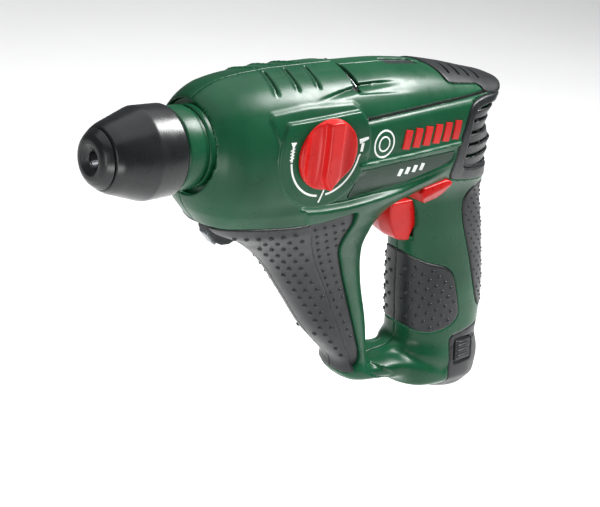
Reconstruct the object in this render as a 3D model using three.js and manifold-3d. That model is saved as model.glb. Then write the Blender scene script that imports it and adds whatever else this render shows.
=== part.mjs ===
// A cordless rotary hammer, built as separate parts in millimetres.
// +X runs from the nose to the rear, -Y is the side with the mode dial, and +Z is up.
// The spindle turns about the X axis, and X = 0 is where the bit's shank comes to rest.
import * as THREE from "three";
import { mergeVertices } from "three/addons/utils/BufferGeometryUtils.js";
import Module from "manifold-3d";

const wasm = await Module();
wasm.setup();

// ---------------------------------------------------------------- driving dimensions

const GAP = 0.3; // clearance between neighbouring parts
const WALL = 3.2; // housing wall, with the pads that lie in it
const PAD = 1.5; // thickness of the overmoulded pads and covers
const SEAM = 0.15; // each half shell stops this far from the middle plane
const AROUND = 20; // points around each section of the body
const FLATNESS = 0.1; // facets that lie this nearly in one plane are merged
const ACROSS = [-60, 60]; // wider than the tool, for whatever runs right across it

const REAR_RADIUS = 27; // the rear end of the barrel, seen from above
const COLLAR_RADIUS = 19.8;
const SLEEVE_RADIUS = 22;
const BIT_RADIUS = 3.7; // socket for the bit's shank
const HOLDER_RADIUS = 9.5;
const TUBE_RADIUS = 11;
const STRIKER_RADIUS = 8.3;
const BEARING = { front: 15, rear: 24, radius: 16 };

const MODULE = 0.8; // gear module
const SHAFT_Z = -20; // intermediate shaft, below the spindle
const MOTOR_TEETH = 8;
const DRIVE_TEETH = 42;
const PINION_TEETH = 13;
const SPINDLE_TEETH = 37;

const SHAFT_RADIUS = 3.9;
const WOBBLE_X = 78;
const PLATE = { front: 100, rear: 104 }; // between the gearbox and the motor
const MOTOR = { front: 106, rear: 150, radius: 18.5, inside: 16.2 };
const DISPLAY = { front: 130, rear: 150, halfWidth: 4 };
const LAMP_HALF_WIDTH = 9;
const TRIGGER_HALF_WIDTH = 9;
const DIAL = { x: 70, z: 0.8, radius: 17.5, face: -34.6, depth: 7, shaft: 5, plate: 27.6 };
const ECCENTRIC = 3.5; // the selector pin's offset from the dial's axis

const LEAN = 0.18; // how far the handle's axis runs rearward for each millimetre down
const LEAN_ANGLE = Math.atan(LEAN);
const STEM = { x: 183.2, top: -63, bottom: -170, halfLength: 17.5, halfWidth: 15.7, corner: 8 };
const CELL = { radius: 6.9, top: -68, length: 56 };

// Sections of the barrel and base: x, top, bottom, half width, roundness power.
const BARREL = [
  [11, 20.8, -21.8, 21.6, 2],
  [14, 23.8, -27, 23.2, 2.1],
  [19, 27, -33, 26.4, 2.2],
  [28, 29.8, -39.8, 30.6, 2.3],
  [42, 31.6, -42.6, 32.9, 2.35],
  [60, 32.5, -43, 33.9, 2.4],
  [90, 32.4, -42, 33.9, 2.4],
  [120, 31, -41, 32.4, 2.45],
  [150, 28.2, -40, 30.5, 2.55],
  [175, 23.7, -38, 28.3, 2.7],
  [195, 18.8, -35, 27, 2.8],
  [214, 14.4, -32, 26, 2.8],
];
const BASE = [
  [123, -131, -139.5, 11.5, 2.4],
  [131, -132.5, -142.5, 13.5, 2.4],
  [142, -134, -144.2, 15.5, 2.5],
  [158, -132.5, -147, 17, 2.6],
  [180, -131, -156.2, 18.5, 2.8],
  [205, -130, -162.2, 18, 2.8],
  [219, -133, -158, 15, 2.8],
];
// Sections of the handle and the front brace: z, front, rear, half width, roundness power.
const HANDLE = [
  [-150, 164, 215.5, 19.5, 2.6],
  [-135, 167.5, 218.5, 19.5, 2.6],
  [-118, 166, 220, 19.6, 2.5],
  [-100, 163, 218.4, 19.8, 2.4],
  [-80, 160.5, 214.5, 19.4, 2.4],
  [-62, 157.4, 210, 19.2, 2.5],
  [-45, 154.4, 205, 19.1, 2.6],
  [-25, 150.7, 202, 20, 2.8],
  [-10, 149, 202, 21.5, 2.9],
];
const BRACE = [
  [-141, 128, 145, 11.5, 2.5],
  [-135, 124.8, 142.4, 12.4, 2.5],
  [-110, 101, 138, 14.3, 2.4],
  [-85, 81.8, 131, 15, 2.4],
  [-65, 65.4, 127.5, 18.6, 2.4],
  [-52, 47.5, 131, 23.5, 2.4],
  [-42, 28.5, 137.6, 28, 2.5],
  [-30, 21.7, 145.4, 30, 2.6],
];
// The rearmost point of the barrel at each height: z, x.
const REAR = [
  [-60, 204],
  [-45, 202],
  [-30, 199.2],
  [-15, 198.2],
  [0, 199.5],
  [12, 204.5],
  [22, 211],
  [40, 215],
];

// Side-view outlines of the pads, covers and openings, as x and z.
const BRACE_GRIP = [
  [20, -38.5],
  [37, -37],
  [64, -38],
  [82, -36.5],
  [99, -34.5],
  [101, -40],
  [99, -57],
  [112, -82],
  [132, -128],
  [130.5, -133.5],
  [118, -140],
  [60, -75],
  [20, -50],
];
const HANDLE_GRIP = [
  [150, -68],
  [160, -76.5],
  [167, -79.5],
  [179, -82.5],
  [184.5, -87],
  [190, -101],
  [193.5, -113],
  [188, -118.5],
  [175, -121.5],
  [166.5, -119.5],
  [150, -106],
];
const PALM_PAD = [
  [192, -37],
  [184.5, -42],
  [183.5, -49],
  [187, -60],
  [195, -78],
  [202, -96],
  [207, -107],
  [212, -112.5],
  [228, -112.5],
  [222, -37],
];
const TOP_CAP = [
  [157, 42],
  [157, 21.6],
  [182, 18.4],
  [184, 14.2],
  [222, 11.5],
  [222, 42],
];
const REAR_COVER = [
  [184, 13.7],
  [172, 11.3],
  [168, 5],
  [164, -8],
  [162.3, -24],
  [165, -29],
  [178, -31.5],
  [222, -34.5],
  [222, 11],
];
const REAR_WINDOW = [
  [181, 9.5],
  [173, 5],
  [171, -6],
  [169.5, -18],
  [171.5, -22.5],
  [178, -24.5],
  [222, -28],
  [222, 7.5],
];
const BATTERY_SEAM = [
  [189.5, -124.5],
  [205, -122],
  [230, -120],
  [230, -175],
  [194, -175],
];
const TRIGGER = [
  [143, -42],
  [140.8, -49],
  [143, -57],
  [148.5, -66.5],
  [157.5, -67],
  [160, -60],
  [161, -42],
];
const SWITCH_WEDGE = [
  [144.5, -31.5],
  [163, -28.2],
  [166.5, -30.5],
  [160.5, -38.5],
  [147.5, -40.5],
];
const SELECTOR = [
  [62, -25],
  [68, -25],
  [68, -12],
  [80, -12],
  [80, 8],
  [60, 8],
  [60, -12],
  [62, -12],
];

const SCREWS = [
  { x: 30, z: -31 },
  { x: 66, z: -51 },
  { x: 112, z: 24 },
  { x: 112, z: -98 },
  { x: 146, z: -140.5 },
];

const COLOURS = {
  shell: { color: 0x1f5c3d, roughness: 0.42, metalness: 0.1 },
  grip: { color: 0x26292b, roughness: 0.75, metalness: 0 },
  cover: { color: 0x2d3032, roughness: 0.5, metalness: 0 },
  chuck: { color: 0x2b2d31, roughness: 0.25, metalness: 0.2 },
  red: { color: 0xc8170f, roughness: 0.35, metalness: 0 },
  steel: { color: 0x9a9da1, roughness: 0.35, metalness: 1 },
  dark: { color: 0x5c5f63, roughness: 0.45, metalness: 1 },
  bronze: { color: 0xa98045, roughness: 0.4, metalness: 1 },
  copper: { color: 0xb0643a, roughness: 0.4, metalness: 1 },
  alloy: { color: 0xb7babd, roughness: 0.5, metalness: 0.9 },
  nylon: { color: 0xd8d6cc, roughness: 0.6, metalness: 0 },
  carbon: { color: 0x222222, roughness: 0.8, metalness: 0 },
  lens: { color: 0xdfe8ea, roughness: 0.1, metalness: 0 },
};

// ---------------------------------------------------------------- solids

/** A closed three.js geometry as a solid, whichever way its faces were wound. */
function solid(geometry) {
  const bare = geometry.index ? geometry.toNonIndexed() : geometry.clone();
  bare.deleteAttribute("normal");
  bare.deleteAttribute("uv");
  const merged = mergeVertices(bare, 1e-4);
  const triVerts = new Uint32Array(merged.index.array);
  const vertProperties = merged.attributes.position.array;
  const made = new wasm.Manifold(new wasm.Mesh({ numProp: 3, vertProperties, triVerts }));
  if (made.volume() > 0) return made;
  triVerts.reverse();
  return new wasm.Manifold(new wasm.Mesh({ numProp: 3, vertProperties, triVerts }));
}

const join = (...solids) => solids.reduce((whole, next) => whole.add(next));
const cut = (whole, ...tools) => tools.reduce((left, tool) => left.subtract(tool), whole);

function box([x0, x1], [y0, y1], [z0, z1]) {
  const geometry = new THREE.BoxGeometry(x1 - x0, y1 - y0, z1 - z0);
  return solid(geometry.translate((x0 + x1) / 2, (y0 + y1) / 2, (z0 + z1) / 2));
}

/** A turned part about a line parallel to X, from a profile of x and radius. */
function turned(profile, z = 0, sides = 24) {
  const points = profile.map(([x, radius]) => new THREE.Vector2(radius, x));
  const geometry = new THREE.LatheGeometry(points, sides);
  return solid(geometry.rotateZ(-Math.PI / 2).translate(0, 0, z));
}

/** A cylinder along X, from x0 to x1. */
function rod(x0, x1, radius, z = 0, sides = 24) {
  const profile = [[x0, 0], [x0, radius], [x1, radius], [x1, 0]];
  return turned(profile, z, sides);
}

/** A cylinder with a hole through it, along X. The hole keeps its full radius between facets. */
function ring(x0, x1, outer, inner, z = 0, sides = 24) {
  const hole = inner / Math.cos(Math.PI / sides);
  return turned([[x0, hole], [x0, outer], [x1, outer], [x1, hole], [x0, hole]], z, sides);
}

/** A turned part about a line parallel to Y, from a profile of y and radius. */
function turnedAcross(profile, x, z, sides = 24) {
  const points = profile.map(([y, radius]) => new THREE.Vector2(radius, y));
  return solid(new THREE.LatheGeometry(points, sides).translate(x, 0, z));
}

function pin(y0, y1, radius, x, z, sides = 24) {
  return turnedAcross([[y0, 0], [y0, radius], [y1, radius], [y1, 0]], x, z, sides);
}

/** A side-view outline of x and z, extruded from y0 to y1. */
function prism(outline, y0, y1) {
  const shape = new THREE.Shape(outline.map(([x, z]) => new THREE.Vector2(x, z)));
  const geometry = new THREE.ExtrudeGeometry(shape, { depth: y1 - y0, bevelEnabled: false });
  return solid(geometry.rotateX(Math.PI / 2).translate(0, y1, 0));
}

/** An outline moved outward by a distance, or inward where it is negative. */
function grown(outline, distance) {
  const points = outline.map(([x, z]) => new THREE.Vector2(x, z));
  const way = THREE.ShapeUtils.isClockWise(points) ? -1 : 1;
  return points.map((point, i) => {
    const before = point.clone().sub(points[(i + points.length - 1) % points.length]).normalize();
    const after = points[(i + 1) % points.length].clone().sub(point).normalize();
    const outward = new THREE.Vector2(before.y + after.y, -before.x - after.x).normalize();
    const spread = Math.max(0.4, outward.x * after.y - outward.y * after.x);
    const reach = (way * distance) / spread;
    return [point.x + reach * outward.x, point.y + reach * outward.y];
  });
}

/** A closed solid through rings that each hold the same number of points. */
function skin(rings) {
  const geometry = new THREE.CylinderGeometry(1, 1, 1, rings[0].length, rings.length - 1);
  const position = geometry.attributes.position;
  for (let i = 0; i < position.count; i++) {
    const ringOf = rings[Math.round((0.5 - position.getY(i)) * (rings.length - 1))];
    const angle = Math.atan2(position.getX(i), position.getZ(i));
    const turn = Math.round((angle / (2 * Math.PI)) * ringOf.length);
    const onAxis = Math.hypot(position.getX(i), position.getZ(i)) < 0.5;
    const centre = new THREE.Vector3();
    ringOf.forEach((point) => centre.addScaledVector(point, 1 / ringOf.length));
    const target = onAxis ? centre : ringOf[(turn + ringOf.length) % ringOf.length];
    position.setXYZ(i, target.x, target.y, target.z);
  }
  return solid(geometry);
}

/** Points around a superellipse, as pairs. */
function superellipse(halfWidth, halfHeight, power) {
  return Array.from({ length: AROUND }, (_, i) => {
    const angle = (2 * Math.PI * i) / AROUND;
    const bend = (value) => Math.sign(value) * Math.abs(value) ** (2 / power);
    return [halfWidth * bend(Math.cos(angle)), halfHeight * bend(Math.sin(angle))];
  });
}

/** The rows of a section table that still have some thickness once shrunk by inset. */
function shrunk(table, inset) {
  const rows = table
    .map(([at, high, low, half, power]) => {
      const way = Math.sign(high - low);
      return [at, high - way * inset, low + way * inset, half - inset, power];
    })
    .filter(([, high, low], i) => Math.sign(high - low) === Math.sign(table[i][1] - table[i][2]))
    .filter(([, high, low, half]) => Math.abs(high - low) > 1 && half > 0.5);
  rows[0][0] += inset;
  rows[rows.length - 1][0] -= inset;
  return rows;
}

function loftAlongX(table, inset) {
  return skin(
    shrunk(table, inset).map(([x, top, bottom, half, power]) =>
      superellipse(half, (top - bottom) / 2, power).map(
        ([y, z]) => new THREE.Vector3(x, y, z + (top + bottom) / 2),
      ),
    ),
  );
}

function loftAlongZ(table, inset) {
  return skin(
    shrunk(table, inset).map(([z, front, rear, half, power]) =>
      superellipse((rear - front) / 2, half, power).map(
        ([x, y]) => new THREE.Vector3(x + (front + rear) / 2, y, z),
      ),
    ),
  );
}

/** Everything in front of the barrel's rounded rear end. */
function aheadOfRear(inset) {
  const radius = REAR_RADIUS - inset;
  return skin(
    REAR.map(([z, x]) => {
      const arc = Array.from({ length: 13 }, (_, i) => {
        const angle = Math.PI * (i / 12 - 0.5);
        return [x - REAR_RADIUS + radius * Math.cos(angle), radius * Math.sin(angle)];
      });
      const sides = x - REAR_RADIUS - 25;
      const outline = [[0, -50], [sides, -50], ...arc, [sides, 50], [0, 50]];
      return outline.map(([px, py]) => new THREE.Vector3(px, py, z));
    }),
  );
}

/** The whole outer form of the housing, shrunk by inset. */
function body(inset) {
  return join(
    loftAlongX(BARREL, inset).intersect(aheadOfRear(inset)),
    loftAlongZ(HANDLE, inset),
    loftAlongZ(BRACE, inset),
    loftAlongX(BASE, inset),
  );
}

const outer = body(0);
const underPads = body(PAD);
const recessed = body(PAD + GAP);
const cavity = body(WALL);

const leftSide = box([-100, 300], [ACROSS[0], -SEAM], [-200, 60]);
const rightSide = box([-100, 300], [SEAM, ACROSS[1]], [-200, 60]);

/** The part of the outer skin, PAD thick, that lies within a side-view outline. */
const patch = (outline) => outer.intersect(prism(outline, ...ACROSS)).subtract(underPads);
/** The recess that a patch lies in. */
const patchRecess = (outline) => prism(grown(outline, GAP), ...ACROSS).subtract(recessed);

// ---------------------------------------------------------------- scene graph

const tool = new THREE.Group();

/** Adds a part to the tool as a named mesh. */
function add(name, made, look) {
  const data = made.simplify(FLATNESS).getMesh();
  const geometry = new THREE.BufferGeometry();
  geometry.setAttribute("position", new THREE.BufferAttribute(data.vertProperties, 3));
  geometry.setIndex(new THREE.BufferAttribute(data.triVerts, 1));
  geometry.computeVertexNormals();
  const mesh = new THREE.Mesh(geometry, new THREE.MeshStandardMaterial(COLOURS[look]));
  mesh.name = name;
  tool.add(mesh);
}

// ---------------------------------------------------------------- battery stem and its channel

/** A rounded bar along the handle's leaning axis, wider by grow. Heights are along the axis. */
function leaningBar(top, bottom, grow = 0) {
  const { halfLength: a, halfWidth: b, corner: r } = STEM;
  const shape = new THREE.Shape();
  const [x, y, c] = [a + grow, b + grow, r + grow];
  shape.moveTo(c - x, -y).lineTo(x - c, -y).absarc(x - c, c - y, c, -Math.PI / 2, 0, false);
  shape.lineTo(x, y - c).absarc(x - c, y - c, c, 0, Math.PI / 2, false);
  shape.lineTo(c - x, y).absarc(c - x, y - c, c, Math.PI / 2, Math.PI, false);
  shape.lineTo(-x, c - y).absarc(c - x, c - y, c, Math.PI, 1.5 * Math.PI, false);
  const settings = { depth: top - bottom, bevelEnabled: false, curveSegments: 4 };
  const geometry = new THREE.ExtrudeGeometry(shape, settings);
  return solid(leaning(geometry.translate(0, 0, bottom - top), top));
}

/** Moves a geometry whose +Z is the handle's axis to its place, with its origin at a height. */
function leaning(geometry, z) {
  return geometry.rotateY(-LEAN_ANGLE).translate(STEM.x - LEAN * (z - STEM.top), 0, z);
}

/** The span in Y from near to far, on the left where side is -1 and on the right where it is 1. */
const sideways = (side, near, far) => (side < 0 ? [-far, -near] : [near, far]);

function batteryButton(side) {
  const block = box([195, 207], sideways(side, 17, 20.3), [-140, -129]);
  const ribs = [-138.4, -135.5, -132.6, -129.7 - GAP].map((z) => {
    return box([196.5, 205.5], sideways(side, 20.1, 20.8), [z, z + 1.2]);
  });
  return join(block, ...ribs);
}

function addBattery() {
  const stem = leaningBar(STEM.top, STEM.bottom).intersect(outer);
  const foot = outer.intersect(prism(grown(BATTERY_SEAM, -GAP), ...ACROSS));
  const hollow = leaningBar(STEM.top - 2, CELL.top - CELL.length - 2, -1.2);
  const slot = box([STEM.x - 6, STEM.x + 6], [-4, 4], [STEM.top - 5, STEM.top + 2]);
  const pockets = [-1, 1].map((side) => {
    return box([194.5, 207.5], sideways(side, 14.4, 30), [-140.5, -128.5]);
  });
  add("battery_case", cut(join(stem, foot), hollow, slot, ...pockets), "cover");

  const seats = [[-7.4, -7.25], [-7.4, 7.25], [6.2, 0]];
  seats.forEach(([x, y], i) => {
    const can = new THREE.CylinderGeometry(CELL.radius, CELL.radius, CELL.length, 16);
    can.rotateX(Math.PI / 2).translate(x, y, -CELL.length / 2);
    add(`battery_cell_${i + 1}`, solid(leaning(can, CELL.top)), "steel");
  });
  add("left_battery_button", batteryButton(-1), "cover");
  add("right_battery_button", batteryButton(1), "cover");
  add("battery_terminal_block", box([172, 196], [-9, 9], [-60.5, -56]), "carbon");
}

// ---------------------------------------------------------------- housing

/** A rib across the housing between x0 and x1, left open for what passes through it. */
function rib(x0, x1, ...openings) {
  const slab = box([x0, x1], ACROSS, [-45, 45]).intersect(underPads);
  return cut(slab, ...openings);
}

function screwBosses(side) {
  return SCREWS.map(({ x, z }) => pin(...sideways(side, 0, 33), 3.9, x, z, 10).intersect(underPads));
}

/** Where a screw's head bears, on the right side: just under the outer skin. */
function headSeat({ x, z }) {
  const wide = Math.min(...[0, 1, 2].map((i) => halfWidthAt(x - 3 + 3 * i, z)));
  return wide - 3.2;
}

/** The housing's half width at a point of the side view. */
function halfWidthAt(x, z) {
  const probe = box([x - 0.2, x + 0.2], [0, ACROSS[1]], [z - 0.2, z + 0.2]).intersect(outer);
  return probe.boundingBox().max[1];
}

function screwHoles() {
  return SCREWS.map((screw) => {
    const seat = headSeat(screw);
    const profile = [[seat - 17, 0], [seat - 17, 1.5], [seat, 1.5], [seat, 3], [50, 3], [50, 0]];
    return turnedAcross(profile, screw.x, screw.z, 10);
  });
}

function addScrews() {
  SCREWS.forEach((screw, i) => {
    const seat = headSeat(screw) + GAP;
    const profile = [
      [seat - 16, 0], [seat - 16, 1.2], [seat, 1.2], [seat, 2.6], [seat + 2, 2.6],
      [seat + 2, 1.1], [seat + 0.8, 1.1], [seat + 0.8, 0],
    ];
    add(`housing_screw_${i + 1}`, turnedAcross(profile, screw.x, screw.z, 10), "dark");
  });
}

/** The round plate behind the dial, cut straight at the top and standing proud of the left side. */
function dialPlate() {
  const { x, z, face, plate } = DIAL;
  const disc = pin(face + 0.25, -20, plate, x, z, 36);
  const above = box([x - 40, x + 40], ACROSS, [z + 16.8, z + 40]);
  return cut(disc.intersect(loftAlongX(BARREL, -2.2)), above, cavity);
}

/** The ribs that carry the bearings and the motor. */
function housingRibs() {
  const motorRoom = rod(100, 170, MOTOR.radius + 0.4);
  const shaftRoom = rod(36, 100, SHAFT_RADIUS + 0.7, SHAFT_Z);
  const switchRoom = box([140, 160], [-40, 40], [-45, -22]);
  return join(
    rib(16.5, 19, rod(10, 30, 13)),
    rib(42, 48.5, rod(40, 50, TUBE_RADIUS + 0.4), rod(40, 45.3, 7.8, SHAFT_Z), shaftRoom),
    rib(108, 110.5, motorRoom),
    rib(150, 152.5, motorRoom, switchRoom),
  );
}

/** What is taken out of both half shells, besides the recesses under the pads. */
function housingOpenings() {
  const { front, rear, halfWidth } = DISPLAY;
  const trigger = [-TRIGGER_HALF_WIDTH - 2 * GAP, TRIGGER_HALF_WIDTH + 2 * GAP];
  return [
    rod(0, 16, 12.4),
    ring(BEARING.front - GAP, BEARING.rear + GAP, BEARING.radius + GAP, TUBE_RADIUS),
    prism(grown(TRIGGER, 2 * GAP), ...trigger),
    box([150, 172], trigger, [-67.6, -41.4]),
    prism(grown(SWITCH_WEDGE, GAP), ...ACROSS),
    pin(ACROSS[0], -20, DIAL.shaft + 0.4, DIAL.x, DIAL.z),
    box([26, 46], [-LAMP_HALF_WIDTH - GAP, LAMP_HALF_WIDTH + GAP], [-54, -39.2]),
    box([front - GAP, rear + GAP], [-halfWidth - GAP, halfWidth + GAP], [20, 40]),
    leaningBar(STEM.top + 1, STEM.bottom, GAP),
    prism(BATTERY_SEAM, ...ACROSS),
    prism(grown(REAR_WINDOW, -2), ...ACROSS).subtract(box([0, 174], ACROSS, ACROSS)),
  ];
}

function addHousing() {
  const outlines = [BRACE_GRIP, HANDLE_GRIP, PALM_PAD, TOP_CAP, REAR_COVER];
  const cuts = [...housingOpenings(), ...outlines.map(patchRecess), ...screwHoles()];
  const shell = join(cut(outer, cavity), dialPlate());
  const ribs = housingRibs();
  for (const [name, side, half] of [["left", -1, leftSide], ["right", 1, rightSide]]) {
    const whole = join(shell, ribs, ...screwBosses(side)).intersect(half);
    add(`${name}_housing`, largest(cut(whole, ...cuts)), "shell");
  }
}

/** The biggest of the bodies that a cut leaves. */
function largest(made) {
  return made.decompose().reduce((best, next) => (next.volume() > best.volume() ? next : best));
}

function addPads() {
  const sides = [["left", leftSide], ["right", rightSide]];
  const lampRoom = box([20, 47], [-LAMP_HALF_WIDTH - 0.6, LAMP_HALF_WIDTH + 0.6], [-60, -38]);
  for (const [name, half] of sides) {
    const brace = cut(patch(BRACE_GRIP), lampRoom, ...screwHoles());
    add(`${name}_brace_grip`, largest(brace.intersect(half)), "grip");
    add(`${name}_handle_grip`, patch(HANDLE_GRIP).intersect(half), "grip");
  }
  add("palm_pad", patch(PALM_PAD), "grip");
}

function addRearCovers() {
  const slots = [166, 173.5, 181, 188.5].map((x) => box([x, x + 1.6], [-14, 14], [-10, 50]));
  add("rear_top_cap", cut(patch(TOP_CAP), ...slots), "cover");
  const window = prism(grown(REAR_WINDOW, GAP), ...ACROSS);
  add("rear_cover", patch(REAR_COVER).subtract(window), "cover");
  const louvres = [-19, -12.5, -6, 0.5].map((z) => box([179, 230], ACROSS, [z, z + 2.2]));
  const grille = patch(REAR_WINDOW).intersect(box([0, 300], ACROSS, [-40, 7]));
  add("rear_vent_grille", cut(grille, ...louvres), "cover");
}

function addLamp() {
  const nose = [[27, -39.8], [45.5, -39.8], [45.5, -46], [41, -52], [37, -50], [29, -47.5]];
  const lensSeat = box([20, 31.6], [-5.3, 5.3], [-46.8, -41.2]);
  add("led_housing", prism(nose, -LAMP_HALF_WIDTH, LAMP_HALF_WIDTH).subtract(lensSeat), "cover");
  add("led_lens", box([29.2, 31.2], [-5, 5], [-46.5, -41.5]), "lens");
}

function addChargeDisplay() {
  const { front, rear, halfWidth } = DISPLAY;
  const window = box([front, rear], [-halfWidth, halfWidth], [23.2, 40]);
  add("charge_display", window.intersect(loftAlongX(BARREL, 0.2)), "lens");
}

// ---------------------------------------------------------------- chuck and spindle

function addChuck() {
  const capProfile = [
    [-39.8, 7], [-39.8, 9.7], [-38.8, 11.4], [-35.2, 14.5], [-35.2, HOLDER_RADIUS + GAP],
    [-36.7, HOLDER_RADIUS + GAP], [-36.7, BIT_RADIUS + 0.1], [-37.6, BIT_RADIUS + 0.1], [-39.8, 7],
  ];
  add("chuck_front_cap", turned(capProfile, 0, 28), "chuck");

  const sleeveProfile = [
    [-34.8, 9.9], [-34.8, 14.7], [-30, 17.2], [-15, SLEEVE_RADIUS], [0, 21.5], [0, 20.5],
    [-8.5, 20.5], [-8.5, 13], [-30, 13], [-30, 9.9], [-34.8, 9.9],
  ];
  add("chuck_sleeve", turned(sleeveProfile, 0, 32), "chuck");

  const holder = turned([
    [-36.4, BIT_RADIUS + 0.05], [-36.4, HOLDER_RADIUS], [-8.6, HOLDER_RADIUS], [-8.6, 12.6],
    [-6.6, 12.6], [-6.6, HOLDER_RADIUS], [7, HOLDER_RADIUS], [7, TUBE_RADIUS], [13, TUBE_RADIUS],
    [13, BIT_RADIUS + 0.05], [-36.4, BIT_RADIUS + 0.05],
  ]);
  add("bit_holder", cut(holder, pin(-12, -3.8, 2.2, -18, 0, 16)), "steel");
  add("locking_ball", solid(new THREE.SphereGeometry(1.85, 8, 6).translate(-18, -5.75, 0)), "steel");
  add("sleeve_spring", spring(-29.5, -9, 11.4, 0.5, 4), "steel");
}

/** A closed helical spring about the X axis. */
function spring(x0, x1, radius, wire, turns) {
  const points = Array.from({ length: turns * 10 + 1 }, (_, i) => {
    const share = i / (turns * 10);
    const angle = 2 * Math.PI * turns * share;
    const x = x0 + wire + (x1 - x0 - 2 * wire) * share;
    return new THREE.Vector3(x, radius * Math.cos(angle), radius * Math.sin(angle));
  });
  const path = new THREE.CatmullRomCurve3(points);
  const section = new THREE.Shape().absarc(0, 0, wire, 0, 2 * Math.PI, false);
  const settings = { steps: turns * 10, extrudePath: path, curveSegments: 2 };
  return solid(new THREE.ExtrudeGeometry(section, settings));
}

function addFrontCollar() {
  const profile = [
    [1.2, 13], [1.2, 19.2], [2, COLLAR_RADIUS], [9.5, COLLAR_RADIUS], [10.6, 18.6], [10.6, 13], [1.2, 13],
  ];
  add("front_collar", turned(profile, 0, 28), "shell");
}

/** A spur gear about a line parallel to X, with straight-sided teeth and backlash. */
function gear(x0, x1, teeth, z, bore, turn = 0) {
  const pitch = (MODULE * teeth) / 2;
  const step = (2 * Math.PI) / teeth;
  const shape = new THREE.Shape();
  for (let i = 0; i < teeth; i++) {
    const centre = turn + i * step;
    const corners = [[-0.31, -1.15], [-0.13, 0.75], [0.13, 0.75], [0.31, -1.15]];
    for (const [share, height] of corners) {
      const radius = pitch + height * MODULE;
      const angle = centre + share * step;
      const point = [radius * Math.cos(angle), radius * Math.sin(angle)];
      if (shape.curves.length || i || share !== -0.31) shape.lineTo(...point);
      else shape.moveTo(...point);
    }
  }
  const geometry = new THREE.ExtrudeGeometry(shape, { depth: x1 - x0, bevelEnabled: false });
  geometry.rotateY(Math.PI / 2).translate(x0, 0, z);
  return solid(geometry).subtract(rod(x0 - 1, x1 + 1, bore, z, 24));
}

function addSpindle() {
  const bore = STRIKER_RADIUS + 0.5;
  add("hammer_tube", turned([
    [13.4, 6.6], [13.4, TUBE_RADIUS], [66, TUBE_RADIUS], [66, bore], [24.6, bore], [24.6, 6.6],
    [13.4, 6.6],
  ]), "steel");
  add("spindle_gear", gear(50, 58, SPINDLE_TEETH, 0, TUBE_RADIUS + 0.4), "steel");
  add("spindle_bearing", ring(BEARING.front, BEARING.rear, BEARING.radius, TUBE_RADIUS + GAP), "steel");
  add("impact_bolt", turned([
    [0, 0], [0, 2.8], [0.5, 3.3], [15.5, 3.3], [16.5, 6.2], [24, 6.2], [24, 0],
  ]), "steel");
  const mass = [[28, 0], [28, 6], [29, STRIKER_RADIUS], [38, STRIKER_RADIUS], [38, 0]];
  add("striker", turned(mass), "steel");

  const head = rod(50, 60, STRIKER_RADIUS);
  const tail = box([59, 83.5], [-5.5, 5.5], [-3, 3]);
  const finger = box([WOBBLE_X - 3.7, WOBBLE_X + 3.7], [-2.4, 2.4], [-10, 10]);
  add("piston", cut(join(head, tail), finger), "alloy");
}

// ---------------------------------------------------------------- gearbox

function addGearbox() {
  add("intermediate_shaft", join(
    gear(49.5, 58.2, PINION_TEETH, SHAFT_Z, 1),
    rod(42, 102, SHAFT_RADIUS, SHAFT_Z, 20),
  ), "steel");
  const ball = new THREE.SphereGeometry(7.4, 14, 9).translate(WOBBLE_X, 0, SHAFT_Z);
  add("wobble_hub", solid(ball).subtract(rod(60, 99, 4.2, SHAFT_Z, 20)), "steel");
  const clutch = turned([
    [62.5, 4.3], [62.5, 6.8], [64.3, 6.8], [64.3, 5.4], [66.7, 5.4], [66.7, 6.8], [68, 6.8], [68, 4.3],
    [62.5, 4.3],
  ], SHAFT_Z, 20);
  add("clutch_sleeve", clutch, "steel");
  add("drive_gear", gear(92, 97.5, DRIVE_TEETH, SHAFT_Z, 4.3), "steel");
  const finger = new THREE.CylinderGeometry(2, 2, 14, 12).rotateX(Math.PI / 2);
  add("wobble_ring", join(
    ring(WOBBLE_X - 3, WOBBLE_X + 3, 11, 8.2, SHAFT_Z, 24),
    solid(finger.translate(WOBBLE_X, 0, -3.5)),
  ), "bronze");
  add("shaft_front_bush", ring(42, 45, 7.5, 4.2, SHAFT_Z, 24), "bronze");
  add("shaft_rear_bearing", ring(100.5, 103.5, 8.2, 4.2, SHAFT_Z, 24), "steel");

  const whole = box([PLATE.front, PLATE.rear], ACROSS, [-38, 45]);
  const plate = whole.intersect(loftAlongX(BARREL, WALL + GAP));
  const seat = rod(PLATE.front - 1, PLATE.rear + 1, 8.5, SHAFT_Z);
  const above = rod(PLATE.front - 1, PLATE.rear + 1, 4);
  const windows = [-17, 17].map((y) => {
    const window = new THREE.CylinderGeometry(4, 4, 8, 16);
    return solid(window.rotateZ(Math.PI / 2).translate(PLATE.front + 2, y, 8));
  });
  add("gear_plate", cut(plate, seat, above, ...windows), "alloy");
}

// ---------------------------------------------------------------- motor

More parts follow.
